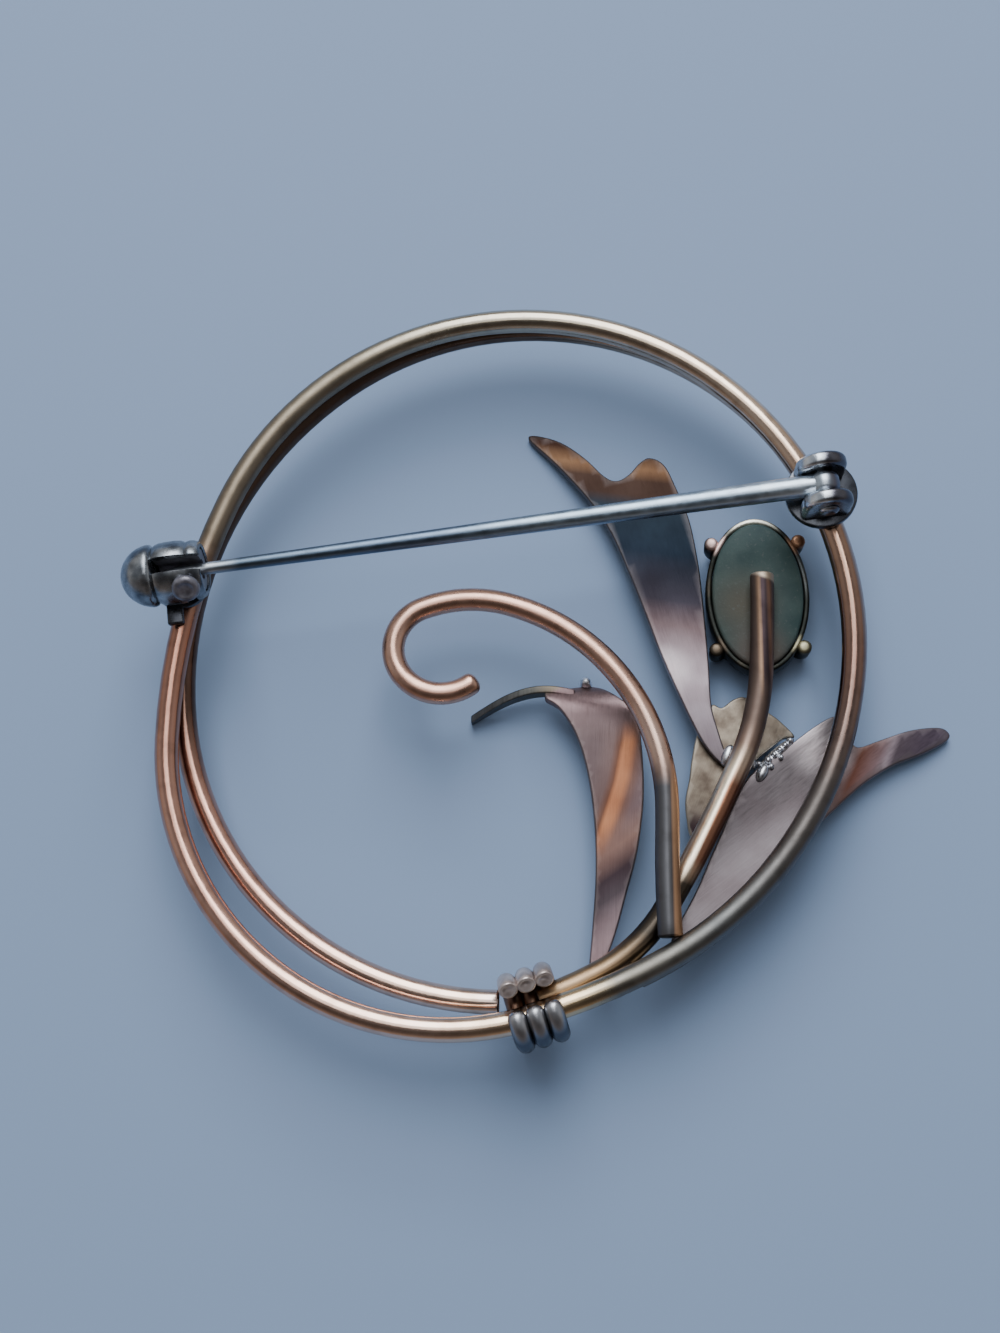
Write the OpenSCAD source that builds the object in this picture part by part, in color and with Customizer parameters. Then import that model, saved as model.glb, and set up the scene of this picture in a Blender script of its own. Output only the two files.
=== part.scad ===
/* [Ring] */
// Diameter of the two ring wires
ring_wire = 1.3; // [1.1:0.05:1.3]
// Height of the back loop's centre above the surface that the brooch lies on
back_level = 4.6; // [4.6:0.01:4.62]
// Height of the front loop's centre
front_level = 3.25; // [3.24:0.01:3.25]

/* [Spray] */
// Diameter of the flower stem
stem_wire = 1.3; // [1.1:0.05:1.3]
// Height of the stem's centre
stem_level = 3.25; // [3.24:0.01:3.25]
// Diameter of the scroll at its foot
scroll_foot = 1.3; // [1.1:0.05:1.3]
// Diameter of the scroll at its curl
scroll_end = 1.2; // [1.0:0.05:1.3]
// Height of the scroll's centre
scroll_level = 4.6; // [4.6:0.01:4.7]
// Thickness of the leaf sheet
leaf_sheet = 0.45; // [0.3:0.05:0.45]
// Thickness of the calyx sheet
calyx_sheet = 0.4; // [0.3:0.05:0.4]

/* [Stone] */
// Length of the oval cabochon
stone_length = 8.2; // [7.8:0.1:8.4]
// Width of the oval cabochon
stone_width = 5.0; // [4.8:0.1:5.2]
// Height of the cabochon
stone_height = 2.45; // [2.3:0.05:2.5]
// Wall of the oval rim that holds it
rim_wall = 0.3; // [0.25:0.05:0.4]
// Height of the rim's wall
rim_height = 1.1; // [0.9:0.1:1.2]
// Diameter of a prong
prong_wire = 0.62; // [0.55:0.01:0.65]

/* [Wrap] */
// Diameter of the wrap's wire
wrap_wire = 0.98; // [0.95:0.01:0.98]
// Distance between its three turns, a little under the wire, because they are soldered together
wrap_pitch = 0.95; // [0.9:0.01:0.95]

/* [Pin] */
// Height of the pin and of the hinge above the surface
pin_level = 7.0; // [7.0:0.05:7.2]
// Distance from the hinge pivot to the pin's point
pin_length = 35.8; // [35.2:0.1:35.8]
// Diameter of the pin beside the hinge
pin_thick = 1.22; // [1.0:0.02:1.22]
// Diameter of the pin beside its point
pin_thin = 0.62; // [0.56:0.02:0.8]
// Diameter of the hinge rivet
rivet = 0.7; // [0.6:0.02:0.74]
// Radial clearance of the pin's eye on the rivet
rivet_clearance = 0.03; // [0.02:0.01:0.05]
// Radial clearance of the catch's rotor in its barrel
rotor_clearance = 0.05; // [0.03:0.01:0.08]

/* [Hidden] */
$fn = 48;

// Where the part's own origin lies, measured from the point that the plan sizes start at
plan_centre = [0.04, -0.19];
// Gap between soldered pieces that are solids of their own
seam = 0.03;
// Length of the bevel that a cut wire end is filed to
bevel = 0.12;
// How much narrower the cut face is
bevel_scale = 0.72;
// How deep a piece is sunk into the one that it grows from
sunk = 0.1;
// How far a cutting shape runs past the piece that it cuts
overrun = 1;
// Degrees of bend to one facet, and sides of a wire's section
bend_step = 6;
wire_sides = 12;
curl_step = 8;

// A start is [x, y, heading]; bends are [bend radius, angle turned to the left] or [length, 0]
back_loop_start = [-0.52, -18.92, 15.6];
back_loop_bends = [
    [33.6, 13], [19.7, 63.3], [18.6, 48], [17.5, 106.5], [33.5, 23.7], [15.3, 58.6], [15.1, 47.3]
];
front_loop_start = [5.09, -16.78, 24.9];
front_loop_bends = [[20.7, 56.5], [18.6, 34.7], [17.6, 99.7], [20.6, 61.4], [17.4, 82.1]];
scroll_start = [6.66, -14.2, 92.3];
scroll_bends = [[60, -4.5], [31.5, 2.8], [11.5, 73.3], [7.4, 36.4], [2.4, 112], [2.7, 83]];
stem_start = [12.18, 4.76, -90.4];
stem_bends = [[77, -4], [14.5, -20.4], [78, -6.4], [9.2, -31.4], [21.7, -8.5]];

// The wrap's section is drawn across the ring: x towards the ring's middle, y up. Its wire starts
// at the inner end, whose cut face looks up and outwards, and ends bent over the ring
wrap_at = [-0.24, -18.8];
wrap_heading = 17;
wrap_start = [1.42, back_level + 1.35, -45];
wrap_bends = [[1.8, -45], [1.5, 0], [1.1, -90], [0.95, 0], [1.1, -90], [1.45, 0], [1.2, -86]];
wrap_step = 18;
wrap_sides = 10;

// Each leaf is a stamped outline, formed on a curved sheet that falls towards its tip
LEAF_TOP = 2.45;
outline_steps = 3;
stamp_height = 6;
// How far the curved sheet runs past the leaf at its base, its tip and its sides
sheet_before = 1.5;
sheet_after = 3.5;
sheet_beside = 4.5;
leaf_centre_outline = [
    [10.1, -5.6], [9.7, -4.0], [9.3, -2.3], [9.2, 0.3], [9.0, 3.8], [8.8, 6.2], [8.4, 8.7], [7.7, 10.8],
    [7.1, 12.2], [6.3, 12.7], [5.7, 12.4], [5.1, 11.7], [4.4, 11.3], [3.7, 11.6], [2.6, 12.8],
    [1.2, 13.9], [-0.3, 14.4], [-0.6, 14.1], [0.6, 12.8], [1.7, 11.5], [2.9, 9.9], [4.0, 8.0],
    [4.9, 5.7], [5.8, 3.3], [6.7, 0.9], [7.6, -1.4], [8.6, -3.9], [9.4, -5.2]
];
leaf_left_outline = [
    [2.5, -16.6], [2.7, -14.2], [2.9, -11.5], [2.9, -9.0], [2.7, -6.8], [2.4, -5.2], [2.0, -3.9],
    [1.5, -2.9], [0.9, -2.1], [0.3, -1.6], [0.4, -1.0], [1.4, -1.0], [2.5, -0.8], [3.3, -0.9],
    [4.1, -1.4], [4.8, -2.1], [5.3, -3.1], [5.5, -4.9], [5.5, -7.4], [5.1, -10.2], [4.5, -12.4],
    [3.9, -14.5], [3.4, -15.8], [2.9, -16.5]
];
leaf_right_outline = [
    [6.9, -15.2], [7.9, -14.9], [9.5, -13.5], [11.5, -11.8], [13.8, -9.6], [15.4, -8.2], [16.5, -7.2],
    [17.6, -6.3], [19.1, -5.4], [20.8, -4.7], [22.2, -3.9], [22.2, -3.4], [21.6, -3.2], [20.1, -3.4],
    [18.4, -4.0], [17.2, -4.4], [16.8, -3.8], [16.6, -2.9], [16.0, -2.7], [14.9, -3.3], [13.2, -4.6],
    [11.6, -6.2], [10.4, -8.0], [9.8, -9.4], [9.3, -10.8], [8.6, -12.05], [7.8, -13.1], [6.9, -14.6]
];
calyx_outline = [
    [8.8, -7.9], [8.0, -7.3], [8.15, -5.2], [8.5, -3.7], [9.0, -3.4], [9.35, -2.0], [9.9, -2.15],
    [10.5, -1.7], [11.1, -1.5], [11.6, -1.75], [12.5, -2.5], [13.0, -2.9], [13.8, -3.8],
    [13.2, -3.95], [12.6, -4.4], [11.9, -5.0], [11.3, -5.8], [10.4, -6.8], [9.6, -7.5]
];

// Sheets: [base x, base y, heading, length, middle, half width, level, drop at the tip, rise at the edges,
//          where the end rolls down, radius of the roll]
BASE_X = 0;
BASE_Y = 1;
AIM = 2;
LENGTH = 3;
MIDDLE = 4;
HALF = 5;
LEVEL = 6;
DROP = 7;
RISE = 8;
ROLL_FROM = 9;
ROLL = 10;
leaf_centre_sheet = [10.0, -5.4, 105, 19.5, 0, 2.2, LEAF_TOP, 1.79, 0.3, 30, 1];
leaf_left_sheet = [2.6, -16.9, 88, 16.0, -0.8, 2.0, LEAF_TOP, 0.5, 0.3, 14.6, 1.7];
leaf_right_sheet = [7.0, -15.1, 38, 19.0, 2.0, 2.3, LEAF_TOP, 2.085, 0.3, 30, 1];
calyx_form = [10.4, -7.2, 66, 6.2, 0, 2.2, 2.06, 0.9, -0.3, 30, 1];

// The left leaf's tip stands on edge: [x, y, lower edge, upper edge]
tip_rows = [
    [1.9, -1.35, 0.7, 1.9], [0.7, -1.1, 0.6, 2.0], [-0.5, -1.12, 0.45, 1.95], [-1.7, -1.43, 0.3, 1.7],
    [-2.8, -1.93, 0.12, 1.3], [-3.9, -2.5, 0, 0.75]
];

// The stone's rows: [share of the full oval, share of the height]
stone_rows = [[0.2, 0], [0.55, 0.08], [0.8, 0.25], [0.95, 0.47], [1, 0.66], [1, 0.86], [0.93, 1]];
stone_at = [12.02, 4.0];
stone_gap = 0.06;
stone_turn = 1;
stone_points = 28;
rim_points = 40;
rim_top = stone_height + 0.12;
prong_out = 0.62;
prong_top = rim_top - 0.1;
prong_taper = 0.8;
prong_sides = 8;
prong_angles = [42, 138, 222, 318];
prong_bends = [[1.1, 0], [0.5, -70], [0.5, 0]];
prong_step = 18;

// The pin's line, from the hinge pivot towards the catch
pivot_at = [15.3, 8.62];
pin_heading = 187.1;
ring_top = back_level + ring_wire / 2;
base_sheet = 0.42;
base_top = ring_top + seam + base_sheet;

hinge_base = 3.9;
ear_radius = 1.35;
ear_thick = 0.8;
eye_radius = 0.82;
eye_thick = 1.16;
ear_gap = eye_thick + 0.14;
rivet_hole = rivet / 2 + 0.02;
rivet_head = 1.1;
rivet_head_thick = 0.22;
point_length = 0.9;
point_end = 0.12;

catch_from = 33.3;
barrel_length = 2.6;
barrel_radius = 1.7;
rotor_radius = 1.15;
rotor_bore = 0.55;
rotor_end_gap = 0.1;
catch_slot = 1.0;
rotor_slot = 1.0;
catch_base = 3.2;
catch_base_at = 34.9;
tab_at = 35.35;
tab_width = 0.9;
tab_reach = 2.4;
// Wall between the barrel's bore and the dome, and the dome's length
dome_wall = 0.1;
dome_length = 1.8;
// The barrel narrows to its mouth: [distance from the mouth, radius]
mouth = [[0, 1.38], [0.15, 1.5], [0.4, 1.6], [0.8, 1.67], [1.2, 1.7]];
// The lever's button stands beside the slot, and its neck runs down the side in a window of the barrel
lever_at = 34.1;
lever_angle = 45;
lever_neck = 0.23;
button_radius = 0.75;
button_thick = 0.5;
button_gap = 0.1;
window_width = 0.6;
window_floor = -0.62;

// One station further along: a turn to the left of a at the bend radius r, or straight on by r
function onward(s, r, a) =
    a == 0
    ? [s[0] + r * cos(s[2]), s[1] + r * sin(s[2]), s[2]]
    : [
        s[0] + sign(a) * r * (sin(s[2] + a) - sin(s[2])),
        s[1] - sign(a) * r * (cos(s[2] + a) - cos(s[2])),
        s[2] + a
    ];

// All stations of a bend table after the start s
function stations(s, bends, step, i = 0) =
    i == len(bends)
    ? []
    : let (
        bend = bends[i],
        count = max(1, ceil(abs(bend[1]) / step)),
        run = [
            for (k = [1:count])
                bend[1] == 0 ? onward(s, bend[0] * k / count, 0) : onward(s, bend[0], bend[1] * k / count)
        ]
    )
    concat(run, stations(run[count - 1], bends, step, i + 1));

// Points of a closed smooth curve through a table of points
function smooth(p, count) = [
    for (i = [0:len(p) - 1], k = [0:count - 1])
        let (
            t = k / count,
            a = p[(i + len(p) - 1) % len(p)],
            b = p[i],
            c = p[(i + 1) % len(p)],
            d = p[(i + 2) % len(p)]
        )
        0.5 * (2 * b + (c - a) * t + (2 * a - 5 * b + 4 * c - d) * t * t
            + (3 * b - 3 * c + d - a) * t * t * t)
];

// Height of a formed sheet's upper side, u along the leaf and v across it
function sheet_top(f, u, v) =
    let (
        s = (v - f[MIDDLE]) / f[HALF],
        past = min(max(u - f[ROLL_FROM], 0), 0.95 * f[ROLL])
    )
    f[LEVEL]
    - f[DROP] * pow(max(u, 0) / f[LENGTH], 2)
    - (f[ROLL] - sqrt(f[ROLL] * f[ROLL] - past * past))
    + f[RISE] * s * s / (1 + s * s);

function oval(length, width, count) = [
    for (k = [0:count - 1]) [width / 2 * cos(360 * k / count), length / 2 * sin(360 * k / count)]
];

// A round wire bent in the plane, with filed ends and an even taper
module bent_wire(start, bends, d_from, d_to, step, sides) {
    run = concat([start], stations(start, bends, step));
    last = len(run) - 1;
    centres = concat([onward(run[0], -bevel, 0)], run, [onward(run[last], bevel, 0)]);
    rings = len(centres);
    points = [
        for (i = [0:rings - 1], k = [0:sides - 1])
            let (
                s = centres[i],
                full = d_from + (d_to - d_from) * i / (rings - 1),
                r = full / 2 * (i == 0 || i == rings - 1 ? bevel_scale : 1),
                t = 360 * (k + 0.5) / sides
            )
            [s[0] - sin(s[2]) * r * cos(t), s[1] + cos(s[2]) * r * cos(t), r * sin(t)]
    ];
    walls = [
        for (i = [0:rings - 2], k = [0:sides - 1])
            let (m = (k + 1) % sides)
            [i * sides + k, (i + 1) * sides + k, (i + 1) * sides + m, i * sides + m]
    ];
    caps = [[for (k = [0:sides - 1]) k], [for (k = [0:sides - 1]) rings * sides - 1 - k]];
    polyhedron(points, concat(walls, caps), convexity = 8);
}

// A stack of closed rows of points, each with the same count, closed at both ends
module stacked(rows) {
    count = len(rows[0]);
    points = [for (row = rows, p = row) p];
    walls = [
        for (i = [0:len(rows) - 2], k = [0:count - 1])
            let (m = (k + 1) % count)
            [i * count + m, i * count + k, (i + 1) * count + k, (i + 1) * count + m]
    ];
    caps = [[for (k = [0:count - 1]) k], [for (k = [0:count - 1]) len(rows) * count - 1 - k]];
    polyhedron(points, concat(walls, caps), convexity = 4);
}

// The curved sheet that a leaf is cut from
module formed_sheet(f, thick, long, across) {
    u_from = -sheet_before;
    u_to = f[LENGTH] + sheet_after;
    v_half = f[HALF] + sheet_beside;
    along = function (i) u_from + (u_to - u_from) * i / long;
    beside = function (k) f[MIDDLE] - v_half + 2 * v_half * k / across;
    row = function (u) concat(
        [for (k = [0:across]) [u, beside(k), sheet_top(f, u, beside(k)) - thick]],
        [for (k = [across:-1:0]) [u, beside(k), sheet_top(f, u, beside(k))]]
    );
    translate([f[BASE_X], f[BASE_Y], 0])
        rotate([0, 0, f[AIM]])
            stacked([for (i = [0:long]) row(along(i))]);
}

module stamped(f, thick, outline, long, across) {
    intersection() {
        formed_sheet(f, thick, long, across);
        translate([0, 0, -overrun])
            linear_extrude(stamp_height)
                polygon(outline);
    }
}

module on_plan() {
    translate([-plan_centre[0], -plan_centre[1], 0])
        children();
}

// Children stand on the pin's line: x from the pivot towards the catch, z from the pin's level
module on_pin_line(level = pin_level) {
    on_plan()
        translate([pivot_at[0], pivot_at[1], level])
            rotate([0, 0, pin_heading])
                children();
}

module lying_cylinder(r, length) {
    rotate([0, 90, 0])
        cylinder(r = r, h = length);
}

module cross_cylinder(r, length) {
    rotate([90, 0, 0])
        cylinder(r = r, h = length, center = true);
}

module ring_back_loop() {
    color("goldenrod")
        on_plan()
            translate([0, 0, back_level])
                bent_wire(back_loop_start, back_loop_bends, ring_wire, ring_wire, bend_step, wire_sides);
}

module ring_front_loop() {
    color("goldenrod")
        on_plan()
            translate([0, 0, front_level])
                bent_wire(front_loop_start, front_loop_bends, ring_wire, ring_wire, bend_step, wire_sides);
}

module wire_wrap() {
    color("wheat")
        on_plan()
            translate([wrap_at[0], wrap_at[1], 0])
                rotate([90, 0, wrap_heading + 90])
                    for (turn = [-1:1])
                        translate([0, 0, turn * wrap_pitch])
                            bent_wire(wrap_start, wrap_bends, wrap_wire, wrap_wire, wrap_step, wrap_sides);
}

module scroll_wire() {
    color("goldenrod")
        on_plan()
            translate([0, 0, scroll_level])
                bent_wire(scroll_start, scroll_bends, scroll_foot, scroll_end, curl_step, wire_sides);
}

module flower_stem() {
    color("goldenrod")
        on_plan()
            translate([0, 0, stem_level])
                bent_wire(stem_start, stem_bends, stem_wire, stem_wire, bend_step, wire_sides);
}

module leaf_centre() {
    color("rosybrown")
        on_plan()
            stamped(leaf_centre_sheet, leaf_sheet, smooth(leaf_centre_outline, outline_steps),
                long = 18, across = 8);
}

module leaf_left() {
    color("rosybrown")
        on_plan()
            union() {
                stamped(leaf_left_sheet, leaf_sheet, smooth(leaf_left_outline, outline_steps),
                    long = 24, across = 6);
                stacked([
                    for (row = tip_rows)
                        [
                            [row[0], row[1] - leaf_sheet / 2, row[2]],
                            [row[0], row[1] - leaf_sheet / 2, row[3]],
                            [row[0], row[1] + leaf_sheet / 2, row[3]],
                            [row[0], row[1] + leaf_sheet / 2, row[2]]
                        ]
                ]);
            }
}

module leaf_right() {
    color("rosybrown")
        on_plan()
            stamped(leaf_right_sheet, leaf_sheet, smooth(leaf_right_outline, outline_steps),
                long = 18, across = 8);
}

module calyx() {
    color("khaki")
        on_plan()
            stamped(calyx_form, calyx_sheet, calyx_outline, long = 8, across = 6);
}

module at_stone() {
    on_plan()
        translate([stone_at[0], stone_at[1], 0])
            rotate([0, 0, stone_turn])
                children();
}

module stone_setting() {
    around = 2 * stone_gap;
    color("gold")
        at_stone() {
            translate([0, 0, rim_top - rim_height])
                linear_extrude(rim_height)
                    difference() {
                        polygon(oval(stone_length + around + 2 * rim_wall,
                            stone_width + around + 2 * rim_wall, rim_points));
                        polygon(oval(stone_length + around, stone_width + around, rim_points));
                    }
            for (angle = prong_angles) {
                edge = [stone_width / 2 * cos(angle), stone_length / 2 * sin(angle)];
                normal = [cos(angle) / stone_width, sin(angle) / stone_length];
                translate([edge[0], edge[1], 0])
                    rotate([90, 0, atan2(normal[1], normal[0])])
                        bent_wire([prong_out, prong_top, -90], prong_bends,
                            prong_wire, prong_wire * prong_taper, prong_step, prong_sides);
            }
        }
}

module stone() {
    color("darkslategray")
        at_stone()
            stacked([
                for (row = stone_rows)
                    [for (p = oval(stone_length * row[0], stone_width * row[0], stone_points))
                        [p[0], p[1], stone_height * row[1]]]
            ]);
}

module hinge_joint() {
    color("slategray")
        on_pin_line()
            difference() {
                union() {
                    translate([0, 0, base_top - base_sheet - pin_level])
                        cylinder(d = hinge_base, h = base_sheet);
                    for (side = [-1, 1])
                        translate([0, side * (ear_gap + ear_thick) / 2, 0]) {
                            cross_cylinder(ear_radius, ear_thick);
                            translate([-ear_radius, -ear_thick / 2, base_top - sunk - pin_level])
                                cube([2 * ear_radius, ear_thick, pin_level - base_top + sunk]);
                        }
                }
                cross_cylinder(rivet_hole, hinge_base);
            }
}

module hinge_rivet() {
    span = ear_gap + 2 * ear_thick + 2 * seam;
    color("lightslategray")
        on_pin_line() {
            cross_cylinder(rivet / 2, span + sunk);
            for (side = [-1, 1])
                translate([0, side * (span + rivet_head_thick) / 2, 0])
                    cross_cylinder(rivet_head / 2, rivet_head_thick);
        }
}

module pin_stem() {
    shaft_from = 0.4;
    shaft_to = pin_length - point_length;
    color("lightsteelblue")
        on_pin_line()
            difference() {
                union() {
                    cross_cylinder(eye_radius, eye_thick);
                    rotate([0, 90, 0])
                        translate([0, 0, shaft_from])
                            cylinder(d1 = pin_thick, d2 = pin_thin, h = shaft_to - shaft_from);
                    rotate([0, 90, 0])
                        translate([0, 0, shaft_to])
                            cylinder(d1 = pin_thin, d2 = point_end, h = point_length);
                }
                cross_cylinder(rivet / 2 + rivet_clearance, 2 * eye_thick);
            }
}

// The barrel's section beside its axis: it swells from the mouth and ends in a dome
module barrel_section() {
    shoulder = barrel_length + dome_wall;
    side = [for (m = mouth) [m[1], m[0]]];
    polygon(concat([[0, 0]], side, [[barrel_radius, shoulder], [0, shoulder]]));
    intersection() {
        translate([0, shoulder])
            scale([1, dome_length / barrel_radius])
                circle(r = barrel_radius);
        square([barrel_radius, shoulder + dome_length]);
    }
}

// The way that the lever's neck takes through the barrel's side, from rest down to the base
module lever_window() {
    width = window_width;
    translate([lever_at - width / 2, 0, 0])
        intersection() {
            rotate([-lever_angle, 0, 0])
                translate([0, -width / 2, 0])
                    cube([width, 2 * barrel_radius, 2 * barrel_radius]);
            translate([0, 0, window_floor])
                cube([width, 2 * barrel_radius, 2 * barrel_radius]);
        }
}

module catch_body() {
    base_level = base_top - base_sheet - pin_level;
    color("slategray")
        on_pin_line()
            difference() {
                union() {
                    translate([catch_base_at, 0, base_level])
                        cylinder(d = catch_base, h = base_sheet);
                    translate([tab_at - tab_width / 2, 0, base_level])
                        cube([tab_width, tab_reach, base_sheet]);
                    translate([catch_from, 0, 0])
                        rotate([0, 90, 0])
                            rotate_extrude()
                                barrel_section();
                }
                translate([catch_from - overrun, 0, 0])
                    lying_cylinder(rotor_radius + rotor_clearance, barrel_length + overrun);
                translate([catch_from - overrun, -catch_slot / 2, 0])
                    cube([barrel_length + overrun, catch_slot, 2 * barrel_radius]);
                lever_window();
            }
}

module catch_rotor() {
    button_from = barrel_radius + button_gap;
    sleeve_length = barrel_length - 2 * rotor_end_gap;
    color("lightslategray")
        on_pin_line() {
            difference() {
                translate([catch_from + rotor_end_gap, 0, 0])
                    lying_cylinder(rotor_radius, sleeve_length);
                translate([catch_from - overrun, 0, 0])
                    lying_cylinder(rotor_bore, barrel_length + 2 * overrun);
                translate([catch_from - overrun, -rotor_slot / 2, 0])
                    cube([barrel_length + 2 * overrun, rotor_slot, 2 * barrel_radius]);
            }
            translate([lever_at, 0, 0])
                rotate([-lever_angle, 0, 0]) {
                    translate([0, 0, rotor_radius - sunk])
                        cylinder(r = lever_neck, h = button_from - rotor_radius + 2 * sunk);
                    translate([0, 0, button_from])
                        cylinder(r = button_radius, h = button_thick);
                }
        }
}

ring_back_loop();
ring_front_loop();
wire_wrap();
scroll_wire();
flower_stem();
leaf_centre();
leaf_left();
leaf_right();
calyx();
stone_setting();
stone();
hinge_joint();
hinge_rivet();
pin_stem();
catch_body();
catch_rotor();
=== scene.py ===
"""A flower brooch, lying face down: ring wires, a wrap, a scroll, a stem, leaves, a cabochon and a pin."""
from math import atan2, ceil, copysign, cos, floor, radians, sin, sqrt, tau

import bmesh
import bpy
from mathutils import Matrix, Vector


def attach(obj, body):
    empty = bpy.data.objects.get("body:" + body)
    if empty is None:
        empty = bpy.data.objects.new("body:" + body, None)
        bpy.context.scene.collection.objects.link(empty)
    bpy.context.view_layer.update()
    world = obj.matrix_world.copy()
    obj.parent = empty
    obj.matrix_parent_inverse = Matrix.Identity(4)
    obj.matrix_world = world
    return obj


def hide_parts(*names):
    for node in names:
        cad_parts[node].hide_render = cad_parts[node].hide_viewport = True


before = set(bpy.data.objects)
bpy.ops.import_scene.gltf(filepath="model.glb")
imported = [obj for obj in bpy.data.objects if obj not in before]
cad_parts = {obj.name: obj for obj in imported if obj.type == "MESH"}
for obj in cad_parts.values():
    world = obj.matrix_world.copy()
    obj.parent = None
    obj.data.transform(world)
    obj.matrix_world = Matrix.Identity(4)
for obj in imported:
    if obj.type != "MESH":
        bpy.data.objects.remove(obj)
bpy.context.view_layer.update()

MM = 0.001
ALONG_X = Vector((1, 0, 0))
ALONG_Y = Vector((0, 1, 0))
UPWARDS = Vector((0, 0, 1))

# The plan is drawn in millimetres from its own zero point, and the brooch's origin lies here in it
PLAN_CENTRE = (0.04, -0.19)

# Pieces that are soldered together, or turn on each other, lie this far apart
GAP = 0.03

# Wires, in millimetres: a start (x, y, heading) and then bends, (radius, angle to the left) or (length, 0)
RING_WIRE = 1.3
BACK_LEVEL = 4.6
FRONT_LEVEL = 3.25
BACK_RING = [
    (-0.52, -18.92, 15.6), (33.6, 13), (19.7, 63.3), (18.6, 48), (17.5, 106.5), (33.5, 23.7), (15.3, 58.6),
    (15.1, 47.3),
]
FRONT_RING = [(5.09, -16.78, 24.9), (20.7, 56.5), (18.6, 34.7), (17.6, 99.7), (20.6, 61.4), (17.4, 82.1)]
SCROLL = [
    (6.686, -14.85, 92.3), (0.65, 0), (60, -4.5), (31.5, 2.8), (11.5, 73.3), (7.4, 36.4), (2.4, 112),
    (2.7, 83),
]
SCROLL_END_WIRE = 1.2
STEM = [(12.18, 4.76, -90.4), (77, -4), (14.5, -20.4), (78, -6.4), (9.2, -31.4), (21.7, -8.5)]

# The wrap's section stands across the ring: right is towards the ring's middle
WRAP_AT = (-0.24, -18.8)
WRAP_HEADING = 17
WRAP_WIRE = 0.98
WRAP_PITCH = 0.95
WRAP_TURN = [
    (1.42, BACK_LEVEL + 1.35, -45), (1.8, -45), (1.5, 0), (1.1, -90), (0.95, 0), (1.1, -90), (1.45, 0),
    (1.2, -86),
]

# The pin's line runs from the hinge pivot towards the catch
PIVOT = (15.3, 8.62)
PIN_HEADING = 187.1
PIN_LEVEL = 7.0
PIN_LENGTH = 35.8
PIN_THICK = 1.22
PIN_THIN = 0.62
POINT_LENGTH = 0.9
RING_TOP = BACK_LEVEL + RING_WIRE / 2
BASE_SHEET = 0.42
BASE_TOP = RING_TOP + GAP + BASE_SHEET
HINGE_BASE_RADIUS = 1.95
RIVET = 0.7
RIVET_HEAD = 0.22
EYE_RADIUS = 0.82
EYE_THICK = 1.16
EAR_GAP = EYE_THICK + 0.14
EAR_THICK = 0.8
EAR_RADIUS = 1.35
CATCH_FROM = 33.3
BARREL_LENGTH = 2.6
BARREL_RADIUS = 1.7
DOME_LENGTH = 1.8
ROTOR_RADIUS = 1.15
ROTOR_BORE = 0.55
CATCH_SLOT = 0.86
LEVER_AT = 34.1
LEVER_ANGLE = 45
NECK_WIDTH = 0.46
FOOT_AT = 34.9
FOOT_RADIUS = 1.6
TAB_AT = 35.35
TAB_SIZE = (0.9, 2.4, BASE_SHEET)

# The oval cabochon, its rim and its prongs
STONE_AT = (12.02, 4.0)
STONE_TURN = 1
STONE_LENGTH = 8.2
STONE_WIDTH = 5.0
STONE_HEIGHT = 2.45
RIM_WALL = 0.3
RIM_TOP = STONE_HEIGHT - 0.2
RIM_DEPTH = 1.1
PRONG_WIRE = 0.78
PRONG_OUT = 0.62
PRONG_ANGLES = (42, 138, 222, 318)

LEAF_TOP = 2.45
LEAF_SHEET = 0.45
CALYX_SHEET = 0.4
SHEET_ROUNDING = 0.09
# Width of the leaves' pale rim, rubbed and painted with an edge highlight
RUB_AND_SHEEN_WIDTH = 0.12


def place(x, y, z):
    """A point of the plan, in millimetres, as a place in the scene."""
    return Vector((x - PLAN_CENTRE[0], y - PLAN_CENTRE[1], z)) * MM


def heading(degrees):
    return Vector((cos(radians(degrees)), sin(radians(degrees)), 0))


def deselect():
    if bpy.context.mode != "OBJECT":
        bpy.ops.object.mode_set(mode="OBJECT")
    bpy.ops.object.select_all(action="DESELECT")


def named(name):
    """The primitive that was just added, under its piece's name, with its place put into its mesh."""
    piece = bpy.context.object
    piece.name = name
    piece.data.name = name
    bpy.ops.object.transform_apply(location=True, rotation=True, scale=True)
    return piece


def pick(piece):
    """Selects one piece alone and makes it the active one."""
    deselect()
    piece.select_set(True)
    bpy.context.view_layer.objects.active = piece


def edit(piece):
    """Opens a piece in edit mode with its whole mesh selected."""
    pick(piece)
    bpy.ops.object.mode_set(mode="EDIT")
    bpy.ops.mesh.select_all(action="SELECT")


def choose(piece, wanted):
    """Selects the vertices whose place passes the test, with the edges and faces between them."""
    bpy.ops.mesh.select_all(action="DESELECT")
    mesh = bmesh.from_edit_mesh(piece.data)
    for vertex in mesh.verts:
        if wanted(vertex.co):
            vertex.select_set(True)
    mesh.select_flush(True)
    bmesh.update_edit_mesh(piece.data)


def close_up(piece, angle=40):
    """Merges what meets, points all faces outwards and smooths what isn't a sharp edge."""
    edit(piece)
    bpy.ops.mesh.remove_doubles(threshold=0.002 * MM)
    bpy.ops.mesh.normals_make_consistent(inside=False)
    if bmesh.from_edit_mesh(piece.data).calc_volume(signed=True) < 0:
        bpy.ops.mesh.flip_normals()
    pick(piece)
    bpy.ops.object.shade_smooth_by_angle(angle=radians(angle))
    return piece


def apply_modifier(piece, kind, **settings):
    pick(piece)
    modifier = piece.modifiers.new(kind.lower(), kind)
    for key, value in settings.items():
        setattr(modifier, key, value)
    bpy.ops.object.modifier_apply(modifier=modifier.name)


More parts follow.
